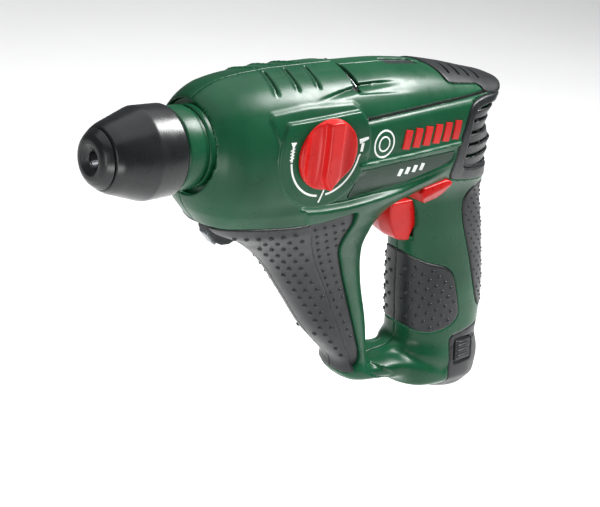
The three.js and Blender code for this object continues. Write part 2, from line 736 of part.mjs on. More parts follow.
function addMotor() {
  const { front, rear, radius, inside } = MOTOR;
  add("motor_can", join(ring(front, rear, radius, inside), ring(front, front + 2, radius, 4)), "dark");
  const slots = Array.from({ length: 5 }, (_, i) => {
    const slot = box([110, 147], [-1.5, 1.5], [9, 16]);
    return slot.rotate([72 * i, 0, 0]);
  });
  add("rotor", cut(rod(112, 145, 15), rod(110, 147, 2), ...slots), "copper");
  add("motor_shaft", rod(91.5, 176, 1.7, 0, 16), "steel");
  add("commutator", ring(153, 160, 5.6, 2, 0, 20), "copper");
  const blades = Array.from({ length: 8 }, (_, i) => {
    return box([167, 173], [-0.8, 0.8], [5, 16.5]).rotate([45 * i, 0, 0]);
  });
  add("cooling_fan", join(ring(166, 168, 17, 2), ring(167, 173, 6, 2), ...blades), "nylon");
  add("motor_pinion", gear(92, 99, MOTOR_TEETH, 0, 2, Math.PI / MOTOR_TEETH), "steel");

  const cap = join(ring(rear + 0.5, 164, radius, inside), ring(161.5, 164, radius, 2.2));
  const brushRoom = box([152, 161], [-40, 40], [-3, 3]);
  add("motor_end_cap", cut(cap, brushRoom), "nylon");
  [-1, 1].forEach((side, i) => {
    add(`carbon_brush_${i + 1}`, box([153.5, 159.5], sideways(side, 6, 18), [-2.6, 2.6]), "carbon");
  });
}

// ---------------------------------------------------------------- controls

function addDial() {
  const { x, z, radius, face, depth, shaft } = DIAL;
  const front = face - depth;
  const profile = [[face, 0], [face, radius], [front + 1.2, radius], [front, radius - 1.4], [front, 0]];
  const disc = turnedAcross(profile, x, z, 40);
  const hollows = [-1, 1].map((side) => {
    const [near, far] = side < 0 ? [x - 13, x - 4.2] : [x + 4.2, x + 13];
    return box([near, far], [front - 2, front + 3.5], [z - 11.5, z + 11.5]);
  });
  add("mode_dial", cut(disc, ...hollows), "red");
  add("dial_shaft", join(
    pin(face + GAP, -23, shaft, x, z),
    pin(-24, -17, 1.5, x, z - ECCENTRIC, 12),
  ), "nylon");
  const slot = box([x - 2.6, x + 2.6], [-30, 0], [z - 8, z + 6]);
  const plate = prism(SELECTOR, -20, -18).subtract(slot);
  const fork = box([64.7, 66.3], [-20, -5.7], [-23, -17]);
  add("selector_plate", join(plate, fork), "steel");
}

function addControls() {
  const blade = prism(TRIGGER, -TRIGGER_HALF_WIDTH, TRIGGER_HALF_WIDTH);
  add("trigger", join(blade, box([159, 165], [-4, 4], [-60, -50])), "red");
  const proud = loftAlongX(BARREL, -3);
  add("direction_switch", prism(SWITCH_WEDGE, ...ACROSS).intersect(proud), "red");
  add("switch_module", box([172.5, 197], [-10.5, 10.5], [-54, -43]), "carbon");
}

addHousing();
addScrews();
addPads();
addRearCovers();
addLamp();
addChargeDisplay();
addFrontCollar();
addChuck();
addSpindle();
addGearbox();
addMotor();
addDial();
addControls();
addBattery();

export default tool;
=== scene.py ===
import math

import bpy
import numpy as np
from mathutils import Matrix, Vector


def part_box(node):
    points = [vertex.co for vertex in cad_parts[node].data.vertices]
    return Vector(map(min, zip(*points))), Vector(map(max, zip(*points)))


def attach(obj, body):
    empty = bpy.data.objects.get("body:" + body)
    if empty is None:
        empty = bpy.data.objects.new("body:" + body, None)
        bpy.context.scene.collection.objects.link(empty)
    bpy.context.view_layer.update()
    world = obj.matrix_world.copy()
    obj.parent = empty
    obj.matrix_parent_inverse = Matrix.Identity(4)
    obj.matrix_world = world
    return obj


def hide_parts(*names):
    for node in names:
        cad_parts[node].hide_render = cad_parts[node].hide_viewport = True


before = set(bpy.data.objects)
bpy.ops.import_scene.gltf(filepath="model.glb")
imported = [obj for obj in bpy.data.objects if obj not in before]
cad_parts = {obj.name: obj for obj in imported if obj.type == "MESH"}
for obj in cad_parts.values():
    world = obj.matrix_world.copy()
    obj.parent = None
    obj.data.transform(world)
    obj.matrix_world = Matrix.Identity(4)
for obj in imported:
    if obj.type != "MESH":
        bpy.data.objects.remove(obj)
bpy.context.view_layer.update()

MM = 0.001
GAP = 0.25  # around the pads and covers
PAD = 1.5  # thickness of the pads and covers
WALL = 3.2
SEAM = 0.12  # each half shell stops this far from the middle plane
SIDES = (("left", -1), ("right", 1))
COARSE = 1.0  # everything is meshed this much more coarsely

# ---------------------------------------------------------------- dimensions

# Sections of the barrel and base: x, top, bottom, half width, roundness power.
BARREL = [
    (11, 20.8, -21.8, 21.6, 2), (14, 23.8, -27, 23.2, 2.1), (19, 27, -33, 26.4, 2.2),
    (28, 29.8, -39.8, 30.6, 2.3), (42, 31.6, -42.6, 32.9, 2.35), (60, 32.5, -43, 33.9, 2.4),
    (90, 32.4, -42, 33.9, 2.4), (120, 31, -41, 32.4, 2.45), (150, 28.2, -40, 30.5, 2.55),
    (175, 23.7, -38, 28.3, 2.7), (195, 18.8, -35, 27, 2.8), (214, 14.4, -32, 26, 2.8),
]
BASE = [
    (123, -131, -139.5, 11.5, 2.4), (131, -132.5, -142.5, 13.5, 2.4), (142, -134, -144.2, 15.5, 2.5),
    (158, -132.5, -147, 17, 2.6), (180, -131, -156.2, 18.5, 2.8), (205, -130, -162.2, 18, 2.8),
    (219, -133, -158, 15, 2.8),
]
# Sections of the handle and the front brace: z, front, rear, half width, roundness power.
HANDLE = [
    (-150, 164, 215.5, 19.5, 2.6), (-135, 167.5, 218.5, 19.5, 2.6), (-118, 166, 220, 19.6, 2.5),
    (-100, 163, 218.4, 19.8, 2.4), (-80, 160.5, 214.5, 19.4, 2.4), (-62, 157.4, 210, 19.2, 2.5),
    (-45, 154.4, 205, 19.1, 2.6), (-25, 150.7, 202, 20, 2.8), (-10, 149, 202, 21.5, 2.9),
]
BRACE = [
    (-141, 128, 145, 11.5, 2.5), (-135, 124.8, 142.4, 12.4, 2.5), (-110, 101, 138, 14.3, 2.4),
    (-85, 81.8, 131, 15, 2.4), (-65, 65.4, 127.5, 18.6, 2.4), (-52, 47.5, 131, 23.5, 2.4),
    (-42, 28.5, 137.6, 28, 2.5), (-30, 21.7, 145.4, 30, 2.6),
]
# The rearmost point of the barrel at each height: z, x. Seen from above, that end is round.
REAR = [(-60, 204), (-45, 202), (-30, 199.2), (-15, 198.2), (0, 199.5), (12, 204.5), (22, 211), (40, 215)]
REAR_RADIUS = 27

# Side-view outlines, as x and z.
BRACE_GRIP = [
    (20, -38.5), (37, -37), (64, -38), (82, -36.5), (99, -34.5), (101, -40), (99, -57), (112, -82),
    (132, -128), (130.5, -133.5), (118, -140), (60, -75), (20, -50),
]
HANDLE_GRIP = [
    (150, -68), (160, -76.5), (167, -79.5), (179, -82.5), (184.5, -87), (190, -101), (193.5, -113),
    (188, -118.5), (175, -121.5), (166.5, -119.5), (150, -106),
]
PALM_PAD = [
    (192, -37), (184.5, -42), (183.5, -49), (187, -60), (195, -78), (202, -96), (207, -107),
    (212, -112.5), (228, -112.5), (222, -37),
]
TOP_CAP = [(157, 42), (157, 21.6), (182, 18.4), (184, 14.2), (222, 11.5), (222, 42)]
REAR_COVER = [
    (184, 13.7), (172, 11.3), (168, 5), (164, -8), (162.3, -24), (165, -29), (178, -31.5), (222, -34.5),
    (222, 11),
]
REAR_WINDOW = [
    (181, 9.5), (173, 5), (171, -6), (169.5, -18), (171.5, -22.5), (178, -24.5), (222, -28), (222, 7.5),
]
BATTERY_FOOT = [(189.5, -124.5), (205, -122), (230, -120), (230, -175), (194, -175)]
TRIGGER = [(143, -42), (140.8, -49), (143, -57), (148.5, -66.5), (157.5, -67), (160, -60), (161, -42)]
TRIGGER_TOP = -45
SWITCH = [(144.5, -31.5), (163, -28.2), (166.5, -30.5), (160.5, -38.5), (147.5, -40.5)]
NAME_PANEL = [(93, -11.6), (122, -11), (162.5, -11), (161, -18), (128, -25), (90, -27.8)]
DIAL_BLOCK = [(44, 4), (38.5, 20.5), (60, 22.4), (91, 21.4), (97.5, 9), (97, -4)]
SCREWS = [(30, -31), (66, -51), (112, 24), (112, -98), (146, -140.5)]
HEAD_HOLE = 3  # radius of the hole over each screw's head
HEAD_SEAT, LOW_HEAD_SEAT = 20.6, 11  # how far out the heads sit, in the barrel and in the brace and base

DIAL_X, DIAL_Z, DIAL_RADIUS, DIAL_FACE, DIAL_DEPTH = 69.8, 0.8, 17.3, -34.6, 7
STEM_X, STEM_TOP, STEM_LEAN = 183.2, -63, 0.18
STEM_SIZE = (17.5, 15.7)


# ---------------------------------------------------------------- fields

def curve(table, column, at):
    """A column of a section table at any place, on a smooth curve that doesn't overshoot."""
    rows = np.asarray(table, float)
    xs, ys = rows[:, 0], rows[:, column]
    step = np.diff(xs)
    slope = np.diff(ys) / step
    tangent = np.zeros(len(xs))
    tangent[0], tangent[-1] = slope[0], slope[-1]
    before, after = slope[:-1], slope[1:]
    same = before * after > 0
    wide, narrow = 2 * step[1:] + step[:-1], step[1:] + 2 * step[:-1]
    safe = np.where(same, wide / np.where(same, before, 1) + narrow / np.where(same, after, 1), 1)
    tangent[1:-1] = np.where(same, (wide + narrow) / safe, 0)
    at = np.clip(at, xs[0], xs[-1])
    i = np.clip(np.searchsorted(xs, at, side="right") - 1, 0, len(xs) - 2)
    u = (at - xs[i]) / step[i]
    start = (1 + 2 * u) * (1 - u) ** 2 * ys[i] + u * (1 - u) ** 2 * step[i] * tangent[i]
    return start + u * u * (3 - 2 * u) * ys[i + 1] - u * u * (1 - u) * step[i] * tangent[i + 1]


class Sections:
    """A section table on smooth curves, looked up by place."""

    def __init__(self, table):
        self.start, self.end = table[0][0], table[-1][0]
        self.places = np.linspace(self.start, self.end, 900)
        self.columns = [curve(table, i, self.places) for i in range(1, len(table[0]))]

    def __call__(self, at):
        return [np.interp(at, self.places, column).astype(at.dtype) for column in self.columns]


def join(a, b, fillet):
    """The union of two fields, with a fillet of about that size."""
    share = np.clip(0.5 + 0.5 * (b - a) / fillet, 0, 1)
    return b + (a - b) * share - fillet * share * (1 - share)


def both(a, b, fillet):
    """What lies in both fields, with its new edge rounded."""
    return -join(-a, -b, fillet)


def less(a, b, fillet):
    """The first field without the second."""
    return both(a, -b, fillet)


def section(u, v, half_u, half_v, power):
    """A superellipse section: about the distance to it."""
    ratio = ((np.abs(u) / half_u) ** power + (np.abs(v) / half_v) ** power) ** (1 / power)
    return (ratio - 1) * np.minimum(half_u, half_v)


def loft_x(x, y, z, sections, end):
    top, bottom, half, power = sections(x)
    side = section(y, z - (top + bottom) / 2, half, (top - bottom) / 2, power)
    return both(side, np.maximum(sections.start - x, x - sections.end), end)


def loft_z(x, y, z, sections, end):
    front, rear, half, power = sections(z)
    side = section(x - (front + rear) / 2, y, (rear - front) / 2, half, power)
    return both(side, np.maximum(sections.start - z, z - sections.end), end)


BARREL_SECTIONS, BASE_SECTIONS = Sections(BARREL), Sections(BASE)
HANDLE_SECTIONS, BRACE_SECTIONS = Sections(HANDLE), Sections(BRACE)
REAR_SECTIONS = Sections(REAR)


def rear_end(x, y, z):
    """The barrel's rear end, round when seen from above."""
    centre = REAR_SECTIONS(z)[0] - REAR_RADIUS
    return np.where(x > centre, np.hypot(np.maximum(x - centre, 0), y) - REAR_RADIUS, -9.0)


def barrel(x, y, z):
    return both(loft_x(x, y, z, BARREL_SECTIONS, 4), rear_end(x, y, z), 3)


def body(x, y, z):
    """The whole outer form, with the fillets where its parts meet."""
    upper = join(barrel(x, y, z), loft_z(x, y, z, HANDLE_SECTIONS, 3), 9)
    lower = join(loft_z(x, y, z, BRACE_SECTIONS, 3), loft_x(x, y, z, BASE_SECTIONS, 6), 4)
    return join(upper, lower, 7)


def rounded(outline, rounds=2):
    """An outline with its corners cut again and again, which rounds them."""
    points = np.array(outline, float)
    for _ in range(rounds):
        after = np.roll(points, -1, axis=0)
        cut = np.minimum(0.25, 2.2 / np.linalg.norm(after - points, axis=1))[:, None] * (after - points)
        points = np.stack([points + cut, after - cut], 1).reshape(-1, 2)
    return points


class Chart:
    """A function of x and z, worked out once on a fine grid and then looked up."""

    def __init__(self, function, low, high, step=0.3):
        self.low, self.step = np.array(low, float), step
        count = np.ceil((np.array(high, float) - low) / step).astype(int) + 1
        x, z = (a + step * np.arange(n) for a, n in zip(low, count))
        self.values = function(x[:, None], z[None, :]).astype(np.float32)
        self.most = count - 1.001

    def __call__(self, x, z):
        u = np.clip((x - self.low[0]) / self.step, 0, self.most[0])
        v = np.clip((z - self.low[1]) / self.step, 0, self.most[1])
        i, j = u.astype(np.int32), v.astype(np.int32)
        u, v = (u - i).astype(np.float32), (v - j).astype(np.float32)
        near = self.values[i, j] * (1 - v) + self.values[i, j + 1] * v
        return near * (1 - u) + (self.values[i + 1, j] * (1 - v) + self.values[i + 1, j + 1] * v) * u


def inside_of(outline, rounds=2):
    """A chart of the signed distance to a side-view outline, with its corners rounded."""
    points = rounded(outline, rounds)
    return Chart(lambda x, z: within(points, x, z), points.min(0) - 6, points.max(0) + 6)


def within(outline, x, z):
    """The signed distance to a side-view outline."""
    x, z = np.broadcast_arrays(x, z)
    nearest = np.full(x.shape, 1e9)
    inside = np.zeros(x.shape, bool)
    for (ax, az), (bx, bz) in zip(outline, np.roll(outline, -1, axis=0)):
        dx, dz = bx - ax, bz - az
        share = np.clip(((x - ax) * dx + (z - az) * dz) / (dx * dx + dz * dz), 0, 1)
        nearest = np.minimum(nearest, (x - ax - share * dx) ** 2 + (z - az - share * dz) ** 2)
        if dz:
            inside ^= ((az > z) != (bz > z)) & (x < dx * (z - az) / dz + ax)
    return np.where(inside, -1, 1) * np.sqrt(nearest)


def along(line, x, z):
    """The distance to an open side-view line, and how far to its left the point lies."""
    x, z = np.broadcast_arrays(x, z)
    nearest, left = np.full(x.shape, 1e9), np.zeros(x.shape)
    for (ax, az), (bx, bz) in zip(line, line[1:]):
        dx, dz = bx - ax, bz - az
        length = math.hypot(dx, dz)
        share = np.clip(((x - ax) * dx + (z - az) * dz) / length**2, 0, 1)
        away = np.hypot(x - ax - share * dx, z - az - share * dz)
        side = ((z - az) * dx - (x - ax) * dz) / length
        left = np.where(away < nearest, side, left)
        nearest = np.minimum(nearest, away)
    return nearest, left


def block(x, y, z, low, high):
    """The signed distance to a box, near enough."""
    out = [np.maximum(a - p, p - b) for p, a, b in zip((x, y, z), low, high)]
    return np.maximum(np.maximum(out[0], out[1]), out[2])


def leaning_bar(x, y, z, top, bottom, grow=0.0, corner=8.0):
    """The rounded bar along the handle's leaning axis, from one height to another."""
    scale = math.hypot(1, STEM_LEAN)
    u = (x - STEM_X + STEM_LEAN * (z - STEM_TOP)) / scale
    a, b, r = STEM_SIZE[0] + grow, STEM_SIZE[1] + grow, corner
    qu, qy = np.abs(u) - a + r, np.abs(y) - b + r
    side = np.hypot(np.maximum(qu, 0), np.maximum(qy, 0)) + np.minimum(np.maximum(qu, qy), 0) - r
    return np.maximum(side, np.maximum(bottom - z, z - top))


# ---------------------------------------------------------------- meshes

CORNERS = [(a, b, c) for a in (0, 1) for b in (0, 1) for c in (0, 1)]


def crossings(value, cells):
    """The middle of the surface's crossings on each cell's edges, as offsets into the cell."""
    at = {c: value[cells[0] + c[0], cells[1] + c[1], cells[2] + c[2]] for c in CORNERS}
    total, count = np.zeros((len(cells[0]), 3)), np.zeros(len(cells[0]))
    for axis in range(3):
        for near in [c for c in CORNERS if not c[axis]]:
            far = tuple(1 if i == axis else c for i, c in enumerate(near))
            crossed = (at[near] < 0) != (at[far] < 0)
            share = np.where(crossed, at[near] / np.where(crossed, at[near] - at[far], 1), 0)
            point = np.tile(np.array(near, float), (len(share), 1))
            point[:, axis] += share
            total += point * crossed[:, None]
            count += crossed
    return total / count[:, None]


def nets(field, low, high, step):
    """Vertices and quads of the surface where a field is zero, inside a box that holds it all."""
    x, y, z = (np.arange(a, b + step, step).astype(np.float32) for a, b in zip(low, high))
    full = (len(x), len(y), len(z))
    value = np.broadcast_to(field(x[:, None, None], y[None, :, None], z[None, None, :]), full)
    value = np.where(np.abs(value) < 1e-6, 1e-6, value).astype(np.float32)
    inside = value < 0
    parts = [tuple(slice(o, n - 1 + o) for o, n in zip(c, full)) for c in CORNERS]
    held = sum(inside[p].astype(np.int8) for p in parts)
    cells = np.nonzero((held > 0) & (held < 8))
    number = np.full(held.shape, -1, np.int32)
    number[cells] = np.arange(len(cells[0]))
    vertices = (crossings(value, cells) + np.stack(cells, 1)) * step + np.array(low, float)
    quads = []
    for axis in range(3):
        u, v = [i for i in range(3) if i != axis]
        first = tuple(slice(0, -1) if i == axis else slice(None) for i in range(3))
        second = tuple(slice(1, None) if i == axis else slice(None) for i in range(3))
        edge = np.array(np.nonzero(inside[first] != inside[second]))
        edge = edge[:, (edge[u] > 0) & (edge[v] > 0) & (edge[u] < full[u] - 1) & (edge[v] < full[v] - 1)]
        ring = []
        for du, dv in ((-1, -1), (0, -1), (0, 0), (-1, 0)):
            cell = edge.copy()
            cell[u] += du
            cell[v] += dv
            ring.append(number[tuple(cell)])
        ring = np.stack(ring, 1)
        outward = inside[first][tuple(edge)] != (axis == 1)
        quads.append(np.where(outward[:, None], ring, ring[:, ::-1]))
    return vertices, np.concatenate(quads)


def settle(field, points, rounds=2, most=0.5):
    """Points moved onto the surface where a field is zero."""
    points = points.copy()
    probe = 0.03
    for _ in range(rounds):
        here = field(*points.T)
        slope = np.stack([(field(*(points + probe * unit).T) - here) / probe for unit in np.eye(3)], 1)
        move = slope * (here / np.maximum((slope**2).sum(1), 1e-3))[:, None]
        length = np.linalg.norm(move, axis=1)
        points -= move * np.minimum(1, most / np.maximum(length, 1e-9))[:, None]
    return points


def piece(name, vertices, faces, material, rides, *stands_for, sharp=None):
    """A mesh in millimetres as a piece on a CAD body."""
    mesh = bpy.data.meshes.new(name)
    faces = faces.tolist() if isinstance(faces, np.ndarray) else faces
    mesh.from_pydata((np.asarray(vertices) * MM).tolist(), [], faces)
    mesh.polygons.foreach_set("use_smooth", [True] * len(mesh.polygons))
    if sharp:
        mesh.set_sharp_from_angle(angle=math.radians(sharp))
    mesh.materials.append(material)
    made = bpy.data.objects.new(name, mesh)
    bpy.context.scene.collection.objects.link(made)
    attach(made, rides)
    if stands_for:
        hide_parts(*stands_for)
    return made


def box_of(*nodes, margin=3.0):
    """The box around CAD nodes, in millimetres, with a margin."""
    lows, highs = zip(*[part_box(n) for n in nodes])
    low = np.array([[*v] for v in lows]).min(0) / MM - margin
    high = np.array([[*v] for v in highs]).max(0) / MM + margin
    return low, high


def sculpt(name, field, box, step, material, rides, *stands_for):
    """A piece from a field."""
    step *= COARSE
    vertices, quads = nets(field, box[0], box[1], step)
    vertices = settle(field, vertices, most=step / 2)
    return piece(name, vertices, quads, material, rides, *stands_for)


# ---------------------------------------------------------------- the housing's surface

UPPER_LINE = [(80, 12.2), (90, 12.4), (117, 13.2), (146, 14), (187, 14.3)]
MIDDLE_LINE = [(93, -8.8), (122, -8.6), (164, -7.6)]
LOWER_LINE = [(62.5, -27), (76, -28.4), (91, -28.6), (128, -25.9), (161, -18.6)]
SHOULDER = [(69, 23.2), (84, 24.6), (96, 25.6), (128, 25.6)]
TRIGGER_EDGE = [(153.5, -43), (157.5, -50), (159.5, -58), (158, -65)]
BRACE_CREASE = [(70, -36), (76, -49), (98, -82), (114, -111), (127, -133)]
FOOT_GROOVE = [(192, -131), (224, -128)]
BASE_FOLD = [(157, -130.5), (164, -134), (171, -136.6), (180, -140), (188, -143.5)]
MARK_CENTRE, MARK_TILT, MARK_SIZE = (145, -138.6), -0.42, (12, 3.1)


def step_up(value, start, end):
    """0 before start and 1 after end, smooth between them."""
    share = np.clip((value - start) / (end - start), 0, 1)
    return share * share * (3 - 2 * share)


def bell(value, width):
    return np.exp(-((value / width) ** 2))


def drawn_relief(x, z):
    """How far the side walls stand proud of the body, by their lines and panels."""
    made = 0.9 * step_up(-within(rounded(DIAL_BLOCK, 1), x, z), -0.9, 0.9)
    away, above = along(UPPER_LINE, x, z)
    bevel = np.clip(1 + above / 3.2, 0, 1) * (above < 0) * step_up(x, 80, 84)
    made = made - 2.0 * bell(away, 0.85) - 1.2 * bevel * step_up(away, 3.6, 3)
    away, above = along(MIDDLE_LINE, x, z)
    made = made + 1.7 * bell(away, 1.1)
    made = made - 0.9 * step_up(-within(rounded(NAME_PANEL, 1), x, z), -0.3, 0.5)
    away, above = along(LOWER_LINE, x, z)
    start = step_up(x - 0.6 * np.maximum(-27 - z, 0), 61.6, 63)
    ledge = step_up(-above, 0.5, 3.2) * step_up(away, 17, 5) * start * step_up(x, 166, 140)
    made = made - 1.5 * bell(away, 0.9) * step_up(x, 150, 80) + 1.6 * ledge
    made = made - 0.9 * bell(along(TRIGGER_EDGE, x, z)[0], 0.7)
    made = made - 1.1 * bell(along(BASE_FOLD, x, z)[0], 2.8)
    u, v = x - MARK_CENTRE[0], z - MARK_CENTRE[1]
    cosine, sine = math.cos(MARK_TILT), math.sin(MARK_TILT)
    oval = section(u * cosine + v * sine, v * cosine - u * sine, *MARK_SIZE, 2.6)
    return made - 0.5 * step_up(-oval, -0.1, 0.6)


def drawn_shoulder(x, z):
    return 1.9 * bell(along(SHOULDER, x, z)[0], 0.9) * step_up(x, 66, 94) * step_up(x, 130, 100)


shoulder_line = Chart(drawn_shoulder, (60, 14), (156, 34))
side_relief = Chart(drawn_relief, (5, -166), (225, 38))


def top_relief(x, y, z):
    """The crest, the hood's rear edge, the shoulder line and the three slits on top of the barrel."""
    across = np.abs(y)
    high = step_up(z, 14, 18)
    crest = 0.9 * np.maximum(0, 1 - across / 9) * step_up(x, 16, 30) * step_up(x, 99, 96)
    behind = x - (98.5 - 3.4 * across / 22)
    slot = -2.8 * step_up(np.abs(behind - 1), 2.3, 1.5) * step_up(across, 22.4, 21.2)
    hood = slot - 0.9 * step_up(behind, 0, 1) * step_up(x, 138, 100) * step_up(across, 25, 23)
    made = (crest + hood) * high
    made = made - shoulder_line(x, z) * step_up(across, 12, 15)
    for i in range(3):
        slit = x - (52.4 + 12.6 * i - 0.22 * (across - 3))
        span = step_up(across, 1.5, 3) * step_up(across, 21, 17)
        made = made + (0.7 * bell(slit + 1.5, 0.8) - 1.5 * bell(slit, 0.7)) * span * high
    return made


def relieved(x, y, z, skin):
    """The housing's outside, from the body's field and the relief on it."""
    return skin - side_relief(x, z) * step_up(np.abs(y), 5, 9) - top_relief(x, y, z)


def dial_plate(x, y, z, skin):
    """The round plate behind the dial, cut straight at the top."""
    round_edge = np.hypot(x - DIAL_X, z - DIAL_Z) - 27.6
    shape = both(round_edge, z - 17.6 - 0.035 * (x - DIAL_X), 0.9)
    return both(shape, both(skin - 2.6, DIAL_FACE + 0.25 - y, 1.5), 0.7)


IN_BRACE_GRIP, IN_HANDLE_GRIP, IN_PALM_PAD = (inside_of(o) for o in (BRACE_GRIP, HANDLE_GRIP, PALM_PAD))
IN_TOP_CAP, IN_REAR_COVER, IN_REAR_WINDOW = (inside_of(o) for o in (TOP_CAP, REAR_COVER, REAR_WINDOW))
IN_TRIGGER, IN_SWITCH, IN_FOOT = inside_of(TRIGGER, 3), inside_of(SWITCH, 1), inside_of(BATTERY_FOOT, 1)
RECESSED = (IN_BRACE_GRIP, IN_HANDLE_GRIP, IN_PALM_PAD, IN_TOP_CAP, IN_REAR_COVER)


def drawn_brace_relief(x, z):
    """The brace's rear facet is sunk behind a crease."""
    away, above = along(BRACE_CREASE, x, z)
    inside = step_up(-IN_BRACE_GRIP(x, z), -3, 0)
    return -1.7 * step_up(above, -0.4, 1.4) * step_up(away, 40, 30) * inside


brace_relief = Chart(drawn_brace_relief, (12, -148), (142, -26))


def housing_openings(x, y, z, skin):
    """Everything that is cut out of the shell, as one field."""
    axis = np.hypot(y, z)
    trigger = np.maximum(np.maximum(IN_TRIGGER(x, z) - 0.6, np.abs(y) - 9.6), z - TRIGGER_TOP - 0.4)
    cuts = [
        np.maximum(axis - 12.4, x - 16),
        np.maximum(np.abs(axis - 20.2) - 2.2, x - 16.5),
        np.maximum(axis - 16.3, np.abs(x - 19.5) - 4.8),
        trigger,
        block(x, y, z, (150, -9.6, -67.6), (172, 9.6, TRIGGER_TOP + 0.4)),
        IN_SWITCH(x, z) - 0.3,
        np.maximum(np.hypot(x - DIAL_X, z - DIAL_Z) - 5.4, y + 20),
        block(x, y, z, (26, -9.3, -54), (46, 9.3, -39.2)),
        block(x, y, z, (129.7, -4.3, 20), (150.3, 4.3, 40)),
        leaning_bar(x, y, z, STEM_TOP + 1, -170, 0.3),
        IN_FOOT(x, z),
        both(IN_REAR_WINDOW(x, z) + 2, 174 - x, 1),
    ]
    pads = np.minimum.reduce([chart(x, z) for chart in RECESSED])
    cuts.append(both(pads - GAP, -(skin - brace_relief(x, z) + PAD + GAP), 0.3))
    whole = cuts[0]
    for cut in cuts[1:]:
        whole = np.minimum(whole, cut)
    return whole


def supports(x, y, z, skin):
    """The screw bosses and the ribs inside the shell."""
    axis = np.hypot(y, z)
    bosses = np.minimum.reduce([np.hypot(x - sx, z - sz) - 3.9 for sx, sz in SCREWS])
    low = np.hypot(y, z + 20) - 8.2
    bearing = np.maximum(np.abs(x - 17.7) - 1.3, 13 - axis)
    gearbox = np.maximum(np.abs(x - 45.2) - 3.2, -np.minimum(axis - 11.4, low))
    motor = np.maximum(np.minimum(np.abs(x - 109.2), np.abs(x - 151.2)) - 1.3, 18.9 - axis)
    ribs = np.maximum(np.minimum(np.minimum(bearing, gearbox), motor), np.abs(z) - 45)
    return np.maximum(np.minimum(bosses, ribs), skin + 1.9)


def front_of(side, x, y, z, skin):
    """The housing's outside on one side, with the dial's plate on the left one."""
    made = relieved(x, y, z, skin)
    return join(made, dial_plate(x, y, z, skin), 0.6) if side < 0 else made


def outside(side):
    """The housing's outside on one side, as a field."""
    return lambda x, y, z: front_of(side, x, y, z, body(x, y, z))


def shell(side):
    """One half shell as a field: side is -1 for the left one and 1 for the right one."""
    def field(x, y, z):
        skin = body(x, y, z)
        inner = skin + WALL - brace_relief(x, z)
        walls = np.minimum(less(front_of(side, x, y, z, skin), inner, 0.5), supports(x, y, z, skin))
        made = less(walls, housing_openings(x, y, z, skin), 0.5)
        if side > 0:
            for sx, sz in SCREWS:
                seat = HEAD_SEAT if sz > -90 else LOW_HEAD_SEAT
                made = less(made, np.maximum(np.hypot(x - sx, z - sz) - HEAD_HOLE, seat - y), 0.4)
        return both(made, SEAM - side * y, 0.4)
    return field


# ---------------------------------------------------------------- domes and raised strips

def facing(field, starts, direction, reach):
    """Where straight lines from starts first meet a surface, and which of them do."""
    direction = np.array(direction, float)
    gone = np.zeros(len(starts))
    for _ in range(40):
        away = field(*(starts + gone[:, None] * direction).T)
        gone = np.minimum(gone + 0.8 * away, reach)
    return starts + gone[:, None] * direction, np.abs(away) < 0.05


def normals(field, points):
    probe = 0.2
    rises = [field(*(points + probe * unit).T) - field(*(points - probe * unit).T) for unit in np.eye(3)]
    slope = np.stack(rises, 1)
    return slope / np.linalg.norm(slope, axis=1)[:, None]


def hexagonal(low, high, pitch, tilt=0.0):
    """Points on a staggered grid over a rectangle, turned by an angle."""
    centre = (np.array(low, float) + high) / 2
    reach = np.linalg.norm(np.array(high, float) - low) / 2 + pitch
    count = int(reach / pitch) + 1
    rows = [
        (pitch * (i + 0.5 * (j % 2)), 0.866 * pitch * j)
        for j in range(-count, count + 1) for i in range(-count, count + 1)
    ]
    u, v = np.array(rows).T
    turned = np.stack([u * math.cos(tilt) - v * math.sin(tilt), u * math.sin(tilt) + v * math.cos(tilt)], 1)
    return turned + centre


def domes(points, facings, radius, height):
    """Small round bumps standing on a surface, as vertices and faces."""
    profile = [(1.06, -0.35), (1.0, 0.05), (0.86, 0.5), (0.5, 0.88)]
    sides = 10
    vertices, faces = [], []
    for point, out in zip(points, facings):
        across = np.cross(out, [0.31, 0.27, 0.91])
        across /= np.linalg.norm(across)
        up = np.cross(out, across)
        first = len(vertices)
        for share, rise in profile:
            for k in range(sides):
                turn = 2 * math.pi * k / sides
                flat = across * math.cos(turn) + up * math.sin(turn)
                vertices.append(point + radius * share * flat + height * rise * out)
        vertices.append(point + height * out)
        for ring in range(len(profile) - 1):
            for k in range(sides):
                a, b = first + ring * sides + k, first + ring * sides + (k + 1) % sides
                faces.append([a, b, b + sides, a + sides])
        last = first + (len(profile) - 1) * sides
        faces += [[last + k, last + (k + 1) % sides, len(vertices) - 1] for k in range(sides)]
    return vertices, faces


def raised(strips, height, side=-1):
    """Strips that stand on a side wall, or on the top where side is 0, as vertices and faces.

    Each strip goes through pairs of points, given as x and z, or as x and y on the top.
    """
    flat = np.array([point for pairs in strips for pair in pairs for point in pair], float)
    out = np.array([0, side, 0] if side else [0, 0, 1])
    starts = 44.0 * out + flat[:, :1] * (1, 0, 0) + flat[:, 1:] * ((0, 0, 1) if side else (0, 1, 0))
    base, _ = facing(outside(side or 1), starts, -out, 40)
    vertices = np.stack([base + height * out, base - 0.4 * out], 1).reshape(-1, 3)
    faces, first = [], 0
    for pairs in strips:
        for a in range(first, first + 4 * (len(pairs) - 1), 4):
            b = a + 4
            faces += [[a, b, b + 2, a + 2], [a, a + 1, b + 1, b], [a + 2, b + 2, b + 3, a + 3]]
            faces.append([a + 1, a + 3, b + 3, b + 1])
        first += 4 * len(pairs)
        faces += [[first - 4, first - 3, first - 1, first - 2]]
        faces += [[k + first - 4 * len(pairs) for k in (0, 2, 3, 1)]]
    return vertices, faces


